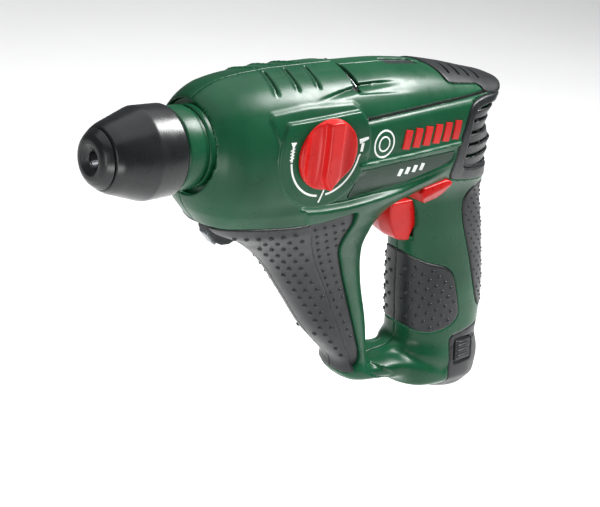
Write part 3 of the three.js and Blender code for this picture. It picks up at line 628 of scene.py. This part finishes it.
def merged(*meshes):
    """Several lots of vertices and faces as one."""
    vertices, faces = [], []
    for some, their_faces in meshes:
        faces += [[i + len(vertices) for i in face] for face in their_faces]
        vertices += [list(v) for v in some]
    return vertices, faces


# ---------------------------------------------------------------- materials

class Nodes:
    """A material's node tree, built a node at a time."""

    def __init__(self, name):
        self.material = bpy.data.materials.new(name)
        self.material.use_nodes = True
        self.tree = self.material.node_tree
        self.shader = self.tree.nodes["Principled BSDF"]
        self.place = self.node("ShaderNodeTexCoord").outputs["Object"]

    def node(self, kind, **settings):
        made = self.tree.nodes.new(kind)
        for key, value in settings.items():
            setattr(made, key, value)
        return made

    def link(self, a, b):
        self.tree.links.new(a, b)

    def noise(self, scale, detail=3.0, stretch=None):
        made = self.node("ShaderNodeTexNoise")
        made.inputs["Scale"].default_value = scale
        made.inputs["Detail"].default_value = detail
        place = self.place
        if stretch:
            mapping = self.node("ShaderNodeMapping")
            mapping.inputs["Scale"].default_value = stretch
            self.link(place, mapping.inputs["Vector"])
            place = mapping.outputs["Vector"]
        self.link(place, made.inputs["Vector"])
        return made.outputs["Fac"]

    def spread(self, value, low, high, start=0.35, end=0.65):
        """A value from one range to another."""
        made = self.node("ShaderNodeMapRange")
        made.inputs["From Min"].default_value, made.inputs["From Max"].default_value = start, end
        made.inputs["To Min"].default_value, made.inputs["To Max"].default_value = low, high
        self.link(value, made.inputs["Value"])
        return made.outputs["Result"]

    def mixed(self, share, first, second):
        """A colour between two, each a colour or an output."""
        made = self.node("ShaderNodeMix", data_type="RGBA")
        for value, socket in zip((share, first, second), (made.inputs[0], made.inputs[6], made.inputs[7])):
            if isinstance(value, bpy.types.NodeSocket):
                self.link(value, socket)
            elif isinstance(value, tuple):
                socket.default_value = (*value, 1)
            else:
                socket.default_value = value
        return made.outputs[2]

    def bump(self, height, strength, distance, under=None):
        made = self.node("ShaderNodeBump")
        made.inputs["Strength"].default_value = strength
        made.inputs["Distance"].default_value = distance
        self.link(height, made.inputs["Height"])
        if under:
            self.link(under, made.inputs["Normal"])
        return made.outputs["Normal"]


def edges(nodes, share):
    """1 on worn edges and 0 elsewhere, scaled by share."""
    geometry = nodes.node("ShaderNodeNewGeometry")
    return nodes.spread(geometry.outputs["Pointiness"], 0, share, 0.54, 0.63)


def moulded(name, colour, rough, grain=1400.0, depth=0.12, worn=0.25, specular=0.3):
    """Moulded plastic or rubber: fine spark-eroded grain, faint cloudiness, edges polished by hands."""
    n = Nodes(name)
    dark = tuple(c * 0.86 for c in colour)
    light = tuple(min(1, c * 1.12 + 0.004) for c in colour)
    pale = tuple(c * 0.7 + 0.12 for c in colour)
    cloudy = n.mixed(n.spread(n.noise(38, 5), 0, 1), dark, light)
    n.link(n.mixed(edges(n, worn), cloudy, pale), n.shader.inputs["Base Color"])
    scuffs = n.spread(n.noise(160, 6), rough - 0.03, rough + 0.04)
    n.link(scuffs, n.shader.inputs["Roughness"])
    coarse = n.bump(n.noise(260, 4), depth * 0.5, 0.00012)
    n.link(n.bump(n.noise(grain, 2), depth, 0.00008, coarse), n.shader.inputs["Normal"])
    n.shader.inputs["Specular IOR Level"].default_value = specular
    return n.material


def metal(name, colour, rough, stretch=(1, 1, 1), grain=900.0, depth=0.1):
    """Machined metal: fine tool marks, uneven sheen and slight stains of oil."""
    n = Nodes(name)
    dark = tuple(c * 0.72 for c in colour)
    marks = n.noise(grain, 3, stretch)
    stains = n.mixed(n.spread(n.noise(70, 5), 0, 1), colour, dark)
    n.link(n.mixed(n.spread(marks, 0, 0.35), stains, dark), n.shader.inputs["Base Color"])
    n.link(n.spread(marks, rough - 0.07, rough + 0.1), n.shader.inputs["Roughness"])
    n.link(n.bump(marks, depth, 0.00005), n.shader.inputs["Normal"])
    n.shader.inputs["Metallic"].default_value = 1
    return n.material


def clear(name, tint):
    """Clear moulded plastic, slightly frosted."""
    n = Nodes(name)
    uneven = n.mixed(n.spread(n.noise(120, 4), 0, 1), tint, tuple(c * 0.9 for c in tint))
    n.link(uneven, n.shader.inputs["Base Color"])
    n.link(n.spread(n.noise(400, 3), 0.08, 0.2), n.shader.inputs["Roughness"])
    n.link(n.bump(n.noise(900, 2), 0.05, 0.00005), n.shader.inputs["Normal"])
    n.shader.inputs["Transmission Weight"].default_value = 0.55
    n.shader.inputs["IOR"].default_value = 1.49
    return n.material


GREEN = moulded("green_shell", (0.004, 0.062, 0.025), 0.3, worn=0.08, specular=0.24)
BLACK = moulded("black_plastic", (0.010, 0.012, 0.013), 0.38, grain=1100, depth=0.2, worn=0.06)
RUBBER = moulded(
    "black_rubber", (0.011, 0.0125, 0.014), 0.4, grain=1000, depth=0.22, worn=0.05, specular=0.36,
)
CHUCK = moulded("chuck_black", (0.010, 0.011, 0.012), 0.28, grain=2200, depth=0.04, worn=0.02, specular=0.4)
RED = moulded("red_plastic", (0.52, 0.006, 0.005), 0.3, grain=1800, depth=0.05, worn=0.04)
WHITE = moulded("white_print", (0.78, 0.82, 0.79), 0.5, grain=1500, depth=0.05, worn=0)
# A darker green for the sunk name area on each side: painted shade, not a colour of the shell.
PAINTED_SHADE_GREEN = moulded("dark_green_panel", (0.003, 0.028, 0.012), 0.34, worn=0.04, specular=0.25)
STEEL = metal("steel", (0.55, 0.56, 0.58), 0.3, (0.15, 1, 1))
BLACK_STEEL = metal("blackened_steel", (0.09, 0.09, 0.1), 0.38)
ZINC = metal("zinc_plated", (0.34, 0.36, 0.4), 0.36)
BRONZE = metal("bronze", (0.58, 0.38, 0.17), 0.36)
COPPER = metal("copper", (0.62, 0.27, 0.13), 0.34, (1, 1, 0.2))
ALLOY = metal("alloy", (0.62, 0.63, 0.65), 0.48, grain=500, depth=0.25)
NYLON = moulded("white_nylon", (0.62, 0.61, 0.56), 0.5)
# Near-black for the brushes and other dark parts; the same black is painted shade where it is laid as strips
# in the shell's groove and behind the hood.
CARBON_AND_SHADE = moulded("carbon", (0.02, 0.02, 0.021), 0.7, grain=2600, depth=0.3, worn=0)
LENS = clear("clear_lens", (0.16, 0.18, 0.19))
SMOKED = clear("smoked_lens", (0.05, 0.06, 0.06))


# ---------------------------------------------------------------- housing, pads and covers

def add_shells():
    for name, side in SIDES:
        node = f"{name}_housing"
        sculpt(node + "_shell", shell(side), box_of(node), 0.8, GREEN, "housing", node)


def pad_field(chart, side=0, relief=None, proud=0.35, depth=PAD, inside=None):
    """A pad in its recess: a skin over the body, split at the middle plane if it has a side."""
    def field(x, y, z):
        skin = body(x, y, z) - (relief(x, z) if relief else 0)
        made = both(chart(x, z), less(skin - proud, skin + depth, 0.2), 0.7)
        if side:
            made = both(made, SEAM - side * y, 0.3)
        return less(made, inside(x, y, z), 0.3) if inside else made
    return field


def lamp_room(x, y, z):
    return block(x, y, z, (20, -9.5, -60), (47, 9.5, -38))


def dotted(field, spots, direction, start, reach, radius, height, steepest=0.12):
    """Domes where lines from a flat grid of spots meet a surface squarely enough."""
    points, found = facing(field, np.array(spots, float) + np.array(start), direction, reach)
    points = points[found]
    out = normals(field, points)
    square = -(out @ np.array(direction, float)) > steepest
    return domes(points[square], out[square], radius, height)


def side_dots(field, chart, side, pitch, tilt, margin, radius, height, angle=0.0, keep=None, inner=2.0):
    """Domes over a pad, inside its outline by a margin, evenly spread as seen at an angle from the side."""
    high = chart.low + chart.step * chart.most
    flat = hexagonal(chart.low - (60, 0), high + (60, 0), pitch, tilt)
    ahead = np.array([math.sin(angle), -side * math.cos(angle), 0])
    across = np.array([math.cos(angle), side * math.sin(angle), 0])
    spots = flat[:, :1] * across + flat[:, 1:] * np.array([0, 0, 1.0]) - 150 * ahead
    points, found = facing(field, spots, ahead, 300)
    points = points[found]
    x, y, z = points.T
    points = points[(chart(x, z) < -margin) & (side * y > inner) & (keep(x, z) if keep else True)]
    out = normals(field, points)
    square = -(out @ ahead) > 0.55
    return domes(points[square], out[square], radius, height)


def before_crease(x, z):
    away, above = along(BRACE_CREASE, x, z)
    return (away > 2.2) & (above < 0)


def behind_crease(x, z):
    away, above = along(BRACE_CREASE, x, z)
    return (away > 3) & (above > 0)


def add_grips():
    for name, side in SIDES:
        brace = pad_field(IN_BRACE_GRIP, side, brace_relief, inside=lamp_room)
        sculpt(f"{name}_brace_pad", brace, box_of(f"{name}_brace_grip"), 0.8, RUBBER, "housing",
               f"{name}_brace_grip")
        dots = merged(
            side_dots(brace, IN_BRACE_GRIP, side, pitch=5.7, tilt=-1.0, margin=2.4, radius=1.3, height=1.0,
                      angle=0.75, keep=before_crease, inner=6.5),
            side_dots(brace, IN_BRACE_GRIP, side, pitch=5.7, tilt=-1.0, margin=2.2, radius=1.05, height=0.75,
                      keep=behind_crease),
        )
        piece(f"{name}_brace_dots", *dots, RUBBER, "housing")
        handle = pad_field(IN_HANDLE_GRIP, side)
        sculpt(f"{name}_handle_pad", handle, box_of(f"{name}_handle_grip"), 0.8, RUBBER, "housing",
               f"{name}_handle_grip")
        dots = side_dots(handle, IN_HANDLE_GRIP, side, pitch=5.4, tilt=0.35, margin=2.6, radius=1.2,
                         height=0.85, angle=0.5, inner=3.5)
        piece(f"{name}_handle_dots", *dots, RUBBER, "housing")


def add_palm_pad():
    pad = pad_field(IN_PALM_PAD)
    sculpt("palm_skin", pad, box_of("palm_pad"), 0.8, RUBBER, "housing", "palm_pad")
    sides = [
        side_dots(pad, IN_PALM_PAD, side, pitch=4.6, tilt=0.2, margin=2.2, radius=0.85, height=0.55)
        for side in (-1, 1)
    ]
    spots = hexagonal((-15, -109), (15, -42), 4.6)
    spots = np.stack([np.full(len(spots), 235.0), spots[:, 0], spots[:, 1]], 1)
    spots = spots[(np.abs(spots[:, 1]) < 11) & (spots[:, 2] > -109) & (spots[:, 2] < -42)]
    back = dotted(pad, spots, (-1, 0, 0), (0, 0, 0), 50, 0.85, 0.55, steepest=0.6)
    piece("palm_dots", *merged(*sides, back), RUBBER, "housing")


def cap_slots(x, y, z):
    """Four slanted air slots across the top cap."""
    across = np.abs(y)
    slots = [np.abs(x - 168.5 - 7.3 * i + 0.32 * across) - 0.75 for i in range(4)]
    return np.maximum(np.maximum(np.minimum.reduce(slots), across - 14), 12 - z)


def window_edge(x, y, z):
    return IN_REAR_WINDOW(x, z) - 0.3


def grille_relief(x, z):
    """Louvres that lean back, one above another, with a deep slot under each."""
    phase = np.mod(z + 24, 6.3) / 6.3
    louvres = 1.1 * (phase - 0.7) - 1.6 * bell(phase - 0.04, 0.09)
    return louvres * step_up(-IN_REAR_WINDOW(x, z), 0.8, 2.0)


def add_rear():
    cap = pad_field(IN_TOP_CAP, proud=0.5, inside=cap_slots)
    sculpt("rear_top_shell", cap, box_of("rear_top_cap"), 0.7, BLACK, "housing", "rear_top_cap")
    cover = pad_field(IN_REAR_COVER, proud=0.5, inside=window_edge)
    sculpt("rear_cover_shell", cover, box_of("rear_cover"), 0.7, BLACK, "housing", "rear_cover")
    grille = pad_field(IN_REAR_WINDOW, relief=grille_relief, proud=-0.2)

    def cut_grille(x, y, z):
        return both(grille(x, y, z), z - 7, 0.4)
    sculpt("rear_grille", cut_grille, box_of("rear_vent_grille"), 0.7, BLACK, "housing", "rear_vent_grille")


NOSE = [(28, -39.8), (45.5, -39.8), (45.5, -46), (42.5, -51.6), (35, -52), (28.6, -44.8)]
LAMP_FACE = [(29.2, -45.4), (34.3, -51.2)]


def add_lamp():
    shape = inside_of(NOSE, 1)

    def field(x, y, z):
        solid = both(shape(x, z), np.abs(y) - 4.4 - 0.22 * np.maximum(x - 33, 0), 1.0)
        return less(solid, np.maximum(along(LAMP_FACE, x, z)[0] - 1.0, np.abs(y) - 3.4), 0.3)
    sculpt("lamp_nose", field, box_of("led_housing"), 0.5, BLACK, "housing", "led_housing")

    def lens(x, y, z):
        return both(along(LAMP_FACE, x, z)[0] - 0.75, np.abs(y) - 3.15, 0.5)
    sculpt("lamp_lens", lens, box_of("led_housing"), 0.4, LENS, "housing", "led_lens")


# ---------------------------------------------------------------- turned parts

def lathe(name, profile, material, rides, *stands_for, sides=96, sharp=35):
    """A turned part about the spindle axis, from a closed profile of x and radius."""
    turns = [2 * math.pi * k / sides for k in range(sides)]
    vertices = [(x, r * math.cos(t), r * math.sin(t)) for x, r in profile for t in turns]
    faces, rows = [], len(profile)
    for i in range(rows):
        for k in range(sides):
            a, b = i * sides + k, i * sides + (k + 1) % sides
            c, d = (i + 1) % rows * sides + (k + 1) % sides, (i + 1) % rows * sides + k
            faces.append((a, d, c, b))
    return piece(name, vertices, faces, material, rides, *stands_for, sharp=sharp)


def softened(profile, reach=0.5, steps=3):
    """A closed profile with its corners rounded over a short reach."""
    points = np.array(profile, float)
    made = []
    for i, point in enumerate(points):
        before, after = points[i - 1] - point, points[(i + 1) % len(points)] - point
        cut = min(reach, 0.4 * np.linalg.norm(before), 0.4 * np.linalg.norm(after))
        a, b = point + before / np.linalg.norm(before) * cut, point + after / np.linalg.norm(after) * cut
        for k in range(steps + 1):
            t = k / steps
            made.append((1 - t) ** 2 * a + 2 * t * (1 - t) * point + t * t * b)
    return made


def add_chuck():
    sleeve = softened([
        (-34.8, 9.9), (-34.8, 14.7), (-31.5, 16.5), (-15, 22), (-1, 21.6), (0, 21.1), (0, 20.5), (-8.5, 20.5),
        (-8.5, 13), (-30, 13), (-30, 9.9),
    ], 0.9)
    lathe("chuck_sleeve_skin", sleeve, CHUCK, "chuck_sleeve", "chuck_sleeve")
    cap = softened([
        (-39.8, 7.2), (-39.8, 9.4), (-38.6, 11.6), (-35.4, 14.3), (-35.2, 9.8), (-36.7, 9.8), (-36.7, 3.8),
        (-37.6, 3.8), (-39.2, 6.4),
    ], 0.7)
    lathe("chuck_cap_skin", cap, CHUCK, "spindle", "chuck_front_cap")
    collar = softened([(1.2, 13), (1.2, 19), (2.2, 19.8), (10.6, 19.75), (10.6, 13)], 0.5)
    lathe("collar_skin", collar, GREEN, "housing", "front_collar")
    flange = softened([(13, 18.2), (13, 19.2), (14, 19.6), (16, 19.6), (16, 18.2)], 0.3)
    lathe("collar_flange", flange, GREEN, "housing")


# ---------------------------------------------------------------- controls

def dial_field(x, y, z):
    """The mode dial: a domed disc with a tall grip, pointed at the bottom."""
    u, w = x - DIAL_X, z - DIAL_Z
    out, high = np.hypot(u, w), DIAL_FACE - y
    disc = both(out - DIAL_RADIUS, high - 1.9 - 1.3 * np.sqrt(np.maximum(0, 1 - (out / 18.2) ** 2)), 1.0)
    half = np.minimum(4.6, 0.6 + 0.6 * np.maximum(w + 17, 0)) - 0.2 * high
    ridge = both(np.abs(u) - half - 0.7, high - DIAL_DEPTH + 0.03 * np.abs(w), 0.7)
    grip = both(ridge, out - DIAL_RADIUS + 0.2, 0.8)
    scoop = np.hypot(np.abs(u) - 10.6, high - 7.4) - 6.4
    return both(join(less(disc, scoop, 0.5), grip, 0.5), y - DIAL_FACE, 0.3)


def add_dial():
    sculpt("dial_skin", dial_field, box_of("mode_dial"), 0.6, RED, "mode_dial", "mode_dial")


def trigger_field(x, y, z):
    """The trigger: two facets that meet at its middle, and a skirt that runs back into the handle."""
    across = np.abs(y)
    facet = 1.6 * np.clip(across / 9, 0, 1)
    blade = both(IN_TRIGGER(x - facet + 0.8, z), across - 9, 0.8)
    stem = block(x, y, z, (157, -4, -60), (165, 4, -50))
    upper = block(x, y, z, (155, -9, -61), (164, 9, -46))
    lower = block(x, y, z, (155, -9, -67.3), (158.5, 9, -46))  # shorter, as the battery's stem is behind it
    skirt = np.maximum(np.minimum(upper, lower), 7.6 - across)
    return both(np.minimum(blade, np.minimum(stem, skirt)), z - TRIGGER_TOP, 0.5)


def switch_field(x, y, z):
    """The direction switch: a wedge with a ridge along it, and a face that leans in below the ridge."""
    above = z + 33.8 - 0.29 * (x - 155)
    crown = 26.9 - 0.15 * np.maximum(above, 0) + 0.5 * np.minimum(above, 0)
    return both(IN_SWITCH(x, z) + 0.1, np.abs(y) - crown, 0.8)


def add_controls():
    sculpt("trigger_skin", trigger_field, box_of("trigger"), 0.6, RED, "trigger", "trigger")
    sculpt("switch_skin", switch_field, box_of("direction_switch"), 0.6, RED, "direction_switch",
           "direction_switch")


# ---------------------------------------------------------------- battery

def drawn_battery_relief(x, z):
    """A shallow groove round the foot, and a sunk frame for the button."""
    frame_edge = block(x, 0, z, (194.7, -1, -141), (208, 1, -128))
    groove = -0.6 * bell(along(FOOT_GROOVE, x, z)[0], 0.5) * step_up(np.abs(frame_edge), 0.4, 1)
    return -0.7 * step_up(-frame_edge, -1.0, -0.2) + groove


battery_relief = Chart(drawn_battery_relief, (160, -166), (226, -50))


def battery_field(x, y, z):
    skin = body(x, y, z)
    foot = both(IN_FOOT(x, z) + GAP, skin - battery_relief(x, z), 0.5)
    stem = both(leaning_bar(x, y, z, STEM_TOP, -160), skin, 0.4)
    hollow = leaning_bar(x, y, z, STEM_TOP - 2, -126, -1.2)
    slot_top = block(x, y, z, (STEM_X - 6, -4, STEM_TOP - 5), (STEM_X + 6, 4, STEM_TOP + 2))
    pockets = np.maximum(block(x, 0, z, (194.5, -1, -140.5), (207.5, 1, -128.5)), 14.4 - np.abs(y))
    return less(np.minimum(foot, stem), np.minimum(np.minimum(hollow, slot_top), pockets), 0.3)


BUTTON_RIBS = (-138.4, -135.5, -132.6, -129.9)


def button_field(side):
    """A release button that follows the case's side, with four ribs."""
    def field(x, y, z):
        plate = block(x, side * y, z, (195, 17, -140), (207, 24, -129))
        ribs = [block(x, 0, z, (196.6, -1, low), (205.4, 1, low + 1.3)) for low in BUTTON_RIBS]
        high = 0.75 * step_up(-np.minimum.reduce(ribs), -0.35, 0.25)
        return both(plate, body(x, y, z) - 0.35 - high, 0.5)
    return field


def add_battery():
    sculpt("battery_shell", battery_field, box_of("battery_case"), 0.85, BLACK, "battery", "battery_case")
    for name, side in SIDES:
        node = f"{name}_battery_button"
        sculpt(node + "_skin", button_field(side), box_of(node), 0.45, BLACK, node, node)


# ---------------------------------------------------------------- print, badges and painted shade

def arc(radius, width, start, end, steps=40):
    """Pairs of points along an arc about the dial's centre. Angles run from +X towards +Z."""
    turns = [math.radians(start + (end - start) * i / steps) for i in range(steps + 1)]
    edges_at = (radius - width / 2, radius + width / 2)
    return [[(DIAL_X + r * math.cos(t), DIAL_Z + r * math.sin(t)) for r in edges_at] for t in turns]


def bar(start, end, width, end_width=None, steps=4):
    """Pairs of points along a straight bar, which may widen."""
    start, end = np.array(start, float), np.array(end, float)
    way = (end - start) / np.linalg.norm(end - start)
    normal = np.array([-way[1], way[0]])
    pairs = []
    for i in range(steps + 1):
        share = i / steps
        half = (width + ((end_width or width) - width) * share) / 2
        middle = start + (end - start) * share
        pairs.append([middle - half * normal, middle + half * normal])
    return pairs


def add_dial_print():
    """A white arc with generic signs for screwing and hammering, and the mark under the pointer."""
    left, right = DIAL_X - 21.1, DIAL_X + 21.1
    marks = [
        arc(21.1, 1.0, 187, 262), arc(21.1, 1.0, 277, 352),
        bar((DIAL_X + 1.2, DIAL_Z - 18.4), (DIAL_X - 1.2, DIAL_Z - 24.6), 0.9),
        bar((left, -1), (left + 0.3, 6.4), 1.2, 0.9), bar((left + 0.3, 6.3), (left + 0.4, 8.6), 0.9, 3.2),
        bar((right + 0.5, -0.9), (right + 1.1, 3.2), 1.7),
        bar((right - 1.2, 4.2), (right + 4.4, 5.4), 2.4, 1.2),
    ]
    marks += [bar((left - 1.2, z), (left + 1.3, z + 0.9), 0.5) for z in (0.2, 1.7, 3.2, 4.7)]
    piece("dial_print", *raised(marks, 0.12), WHITE, "housing", sharp=40)


def densely(line, count):
    """Points spread evenly along a line of side-view points."""
    line = np.array(line, float)
    share = np.linspace(0, len(line) - 1, count)
    return np.stack([np.interp(share, range(len(line)), line[:, i]) for i in (0, 1)], 1)


def layers(top, bottom, rows, count=20):
    """Strips that together cover the area between two side-view lines."""
    top, bottom = densely(top, count), densely(bottom, count)
    levels = [top + (bottom - top) * k / rows for k in range(rows + 1)]
    return [list(zip(levels[k], levels[k + 1])) for k in range(rows)]


def add_badges():
    """Plain marks on each side, a darker green layer of painted shade over the sunk name field, a black strip
    of painted shade in the groove of the upper line, and a black strip of painted shade in the slot behind
    the hood on top.
    """
    turns = np.linspace(0, 2 * math.pi, 49)
    rings = [
        [[(107.5 + r * math.cos(t), 0.2 + r * math.sin(t)) for r in (inner, outer)] for t in turns]
        for inner, outer in ((6.2, 7), (3.2, 3.9))
    ]
    bars = [bar((122.6 + 7.2 * i, -4.6), (124.4 + 7.2 * i, 4.8), 4.6) for i in range(6)]
    dashes = [bar((123 + 5 * i, -19.4 + 0.3 * i), (123.8 + 5 * i, -15.6 + 0.3 * i), 2.6) for i in range(4)]
    # Darker green strips over the sunk name area: painted shade laid on the shell.
    panel = layers([(94, -12.4), (122, -11.8), (161, -11.8)], [(91.5, -26.8), (128, -24.2), (160, -17.5)], 6)
    # A black strip laid in the groove of the upper line, where the shells meet: painted shade.
    gap_shade_strip = [[(x, z + d) for d in (-0.75, 0.75)] for x, z in densely([(98.5, 12.6), *UPPER_LINE[2:]], 24)]
    marks = (
        ("ring_badge", rings, 0.25, WHITE), ("slanted_bars", bars, 0.8, RED), ("dashes", dashes, 0.42, WHITE),
        ("panel", panel, 0.3, PAINTED_SHADE_GREEN), ("painted_gap_shade", [gap_shade_strip], 0.05, CARBON_AND_SHADE),
    )
    for name, side in SIDES:
        for mark, strips, height, material in marks:
            piece(f"{name}_{mark}", *raised(strips, height, side), material, "housing", sharp=40)
    # A black strip in the slot behind the hood: painted shade.
    hood = [[(99.5 - 3.4 * abs(y) / 22 + d, y) for d in (-1.4, 1.4)] for y in np.linspace(-20.8, 20.8, 33)]
    piece("hood_slot_shade", *raised([hood], 0.05, 0), CARBON_AND_SHADE, "housing", sharp=40)


# ---------------------------------------------------------------- what stays as the CAD made it

CAD_LOOKS = {
    STEEL: ["locking_ball", "sleeve_spring", "hammer_tube", "spindle_gear", "spindle_bearing",
            "striker", "intermediate_shaft", "wobble_hub", "clutch_sleeve", "drive_gear",
            "shaft_rear_bearing", "motor_shaft", "motor_pinion", "selector_plate"],
    ZINC: ["motor_can", "battery_cell_1", "battery_cell_2", "battery_cell_3"],
    BLACK_STEEL: ["bit_holder", "impact_bolt", *(f"housing_screw_{i}" for i in range(1, 6))],
    BRONZE: ["wobble_ring", "shaft_front_bush"],
    COPPER: ["rotor", "commutator"],
    ALLOY: ["piston", "gear_plate"],
    NYLON: ["cooling_fan", "motor_end_cap", "dial_shaft"],
    CARBON_AND_SHADE: ["carbon_brush_1", "carbon_brush_2", "switch_module", "battery_terminal_block"],
    LENS: ["led_lens"],
    SMOKED: ["charge_display"],
}


def dress_cad_nodes():
    for look, names in CAD_LOOKS.items():
        for name in names:
            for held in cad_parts[name].material_slots:
                held.material = look


# ---------------------------------------------------------------- studio

def add_floor():
    """A pale floor, low enough that the battery slides out above it."""
    size, low = 6.0, -0.275
    corners = [(-size, -size, low), (size, -size, low), (size, size, low), (-size, size, low)]
    mesh = bpy.data.meshes.new("floor")
    mesh.from_pydata(corners, [], [(0, 1, 2, 3)])
    n = Nodes("floor")
    uneven = n.mixed(n.spread(n.noise(3, 4), 0, 1), (0.9, 0.9, 0.9), (0.93, 0.93, 0.93))
    n.link(uneven, n.shader.inputs["Base Color"])
    n.link(n.spread(n.noise(60, 3), 0.75, 0.85), n.shader.inputs["Roughness"])
    mesh.materials.append(n.material)
    floor = bpy.data.objects.new("floor", mesh)
    bpy.context.scene.collection.objects.link(floor)


def add_light(name, place, aim, size, power, shadow=True):
    data = bpy.data.lights.new(name, "AREA")
    data.use_shadow = shadow
    data.shape, data.size, data.size_y, data.energy = "RECTANGLE", size[0], size[1], power
    light = bpy.data.objects.new(name, data)
    light.location = place
    light.rotation_mode = "QUATERNION"
    light.rotation_quaternion = (Vector(aim) - Vector(place)).to_track_quat("-Z", "Y")
    bpy.context.scene.collection.objects.link(light)


def add_studio():
    world = bpy.data.worlds.new("studio")
    world.use_nodes = True
    world.node_tree.nodes["Background"].inputs["Color"].default_value = (0.93, 0.95, 0.97, 1)
    world.node_tree.nodes["Background"].inputs["Strength"].default_value = 0.14
    bpy.context.scene.world = world
    middle = (0.1, 0, -0.04)
    add_light("overhead", (0.1, 0.3, 2.0), middle, (3.5, 3.0), 39)
    add_light("left", (-0.75, -0.33, 0.08), middle, (0.28, 0.5), 1.8)
    add_light("rear", (0.7, -0.13, 0.76), middle, (0.4, 0.4), 21, shadow=False)
    add_light("low", (-0.26, -0.36, -0.13), (0.03, -0.02, -0.02), (0.25, 0.12), 0.8)
    bpy.context.scene.view_settings.view_transform = "Standard"


AZIMUTH, ELEVATION, ROLL = (math.radians(angle) for angle in (-41.45, 20.7, -7.03))
TARGET, DISTANCE = Vector((0.080, 0, -0.040)), 0.8934
FOCAL_SHARE = 3.0282  # focal length over the picture's width
HEIGHT_SHARE = 507 / 600  # the picture's height over its width
PRINCIPAL = (0.4794, 0.4066)  # the middle of the view, as shares of width and height


def add_camera():
    level = math.cos(ELEVATION)
    back = Vector((math.sin(AZIMUTH) * level, -math.cos(AZIMUTH) * level, math.sin(ELEVATION)))
    ahead = -back
    right = ahead.cross(Vector((0, 0, 1))).normalized()
    down = ahead.cross(right)
    tilted = right * math.cos(ROLL) + down * math.sin(ROLL)
    lower = down * math.cos(ROLL) - right * math.sin(ROLL)
    data = bpy.data.cameras.new("camera")
    data.sensor_width = 36
    data.lens = 36 * FOCAL_SHARE
    data.shift_x = 0.5 - PRINCIPAL[0]
    data.shift_y = -(0.5 - PRINCIPAL[1]) * HEIGHT_SHARE
    camera = bpy.data.objects.new("camera", data)
    turn = Matrix((tilted, -lower, back)).transposed()
    camera.matrix_world = Matrix.Translation(TARGET + back * DISTANCE) @ turn.to_4x4()
    bpy.context.scene.collection.objects.link(camera)
    bpy.context.scene.camera = camera


add_camera()
add_studio()
add_floor()
dress_cad_nodes()
add_shells()
add_grips()
add_palm_pad()
add_rear()
add_lamp()
add_chuck()
add_dial()
add_controls()
add_battery()
add_dial_print()
add_badges()
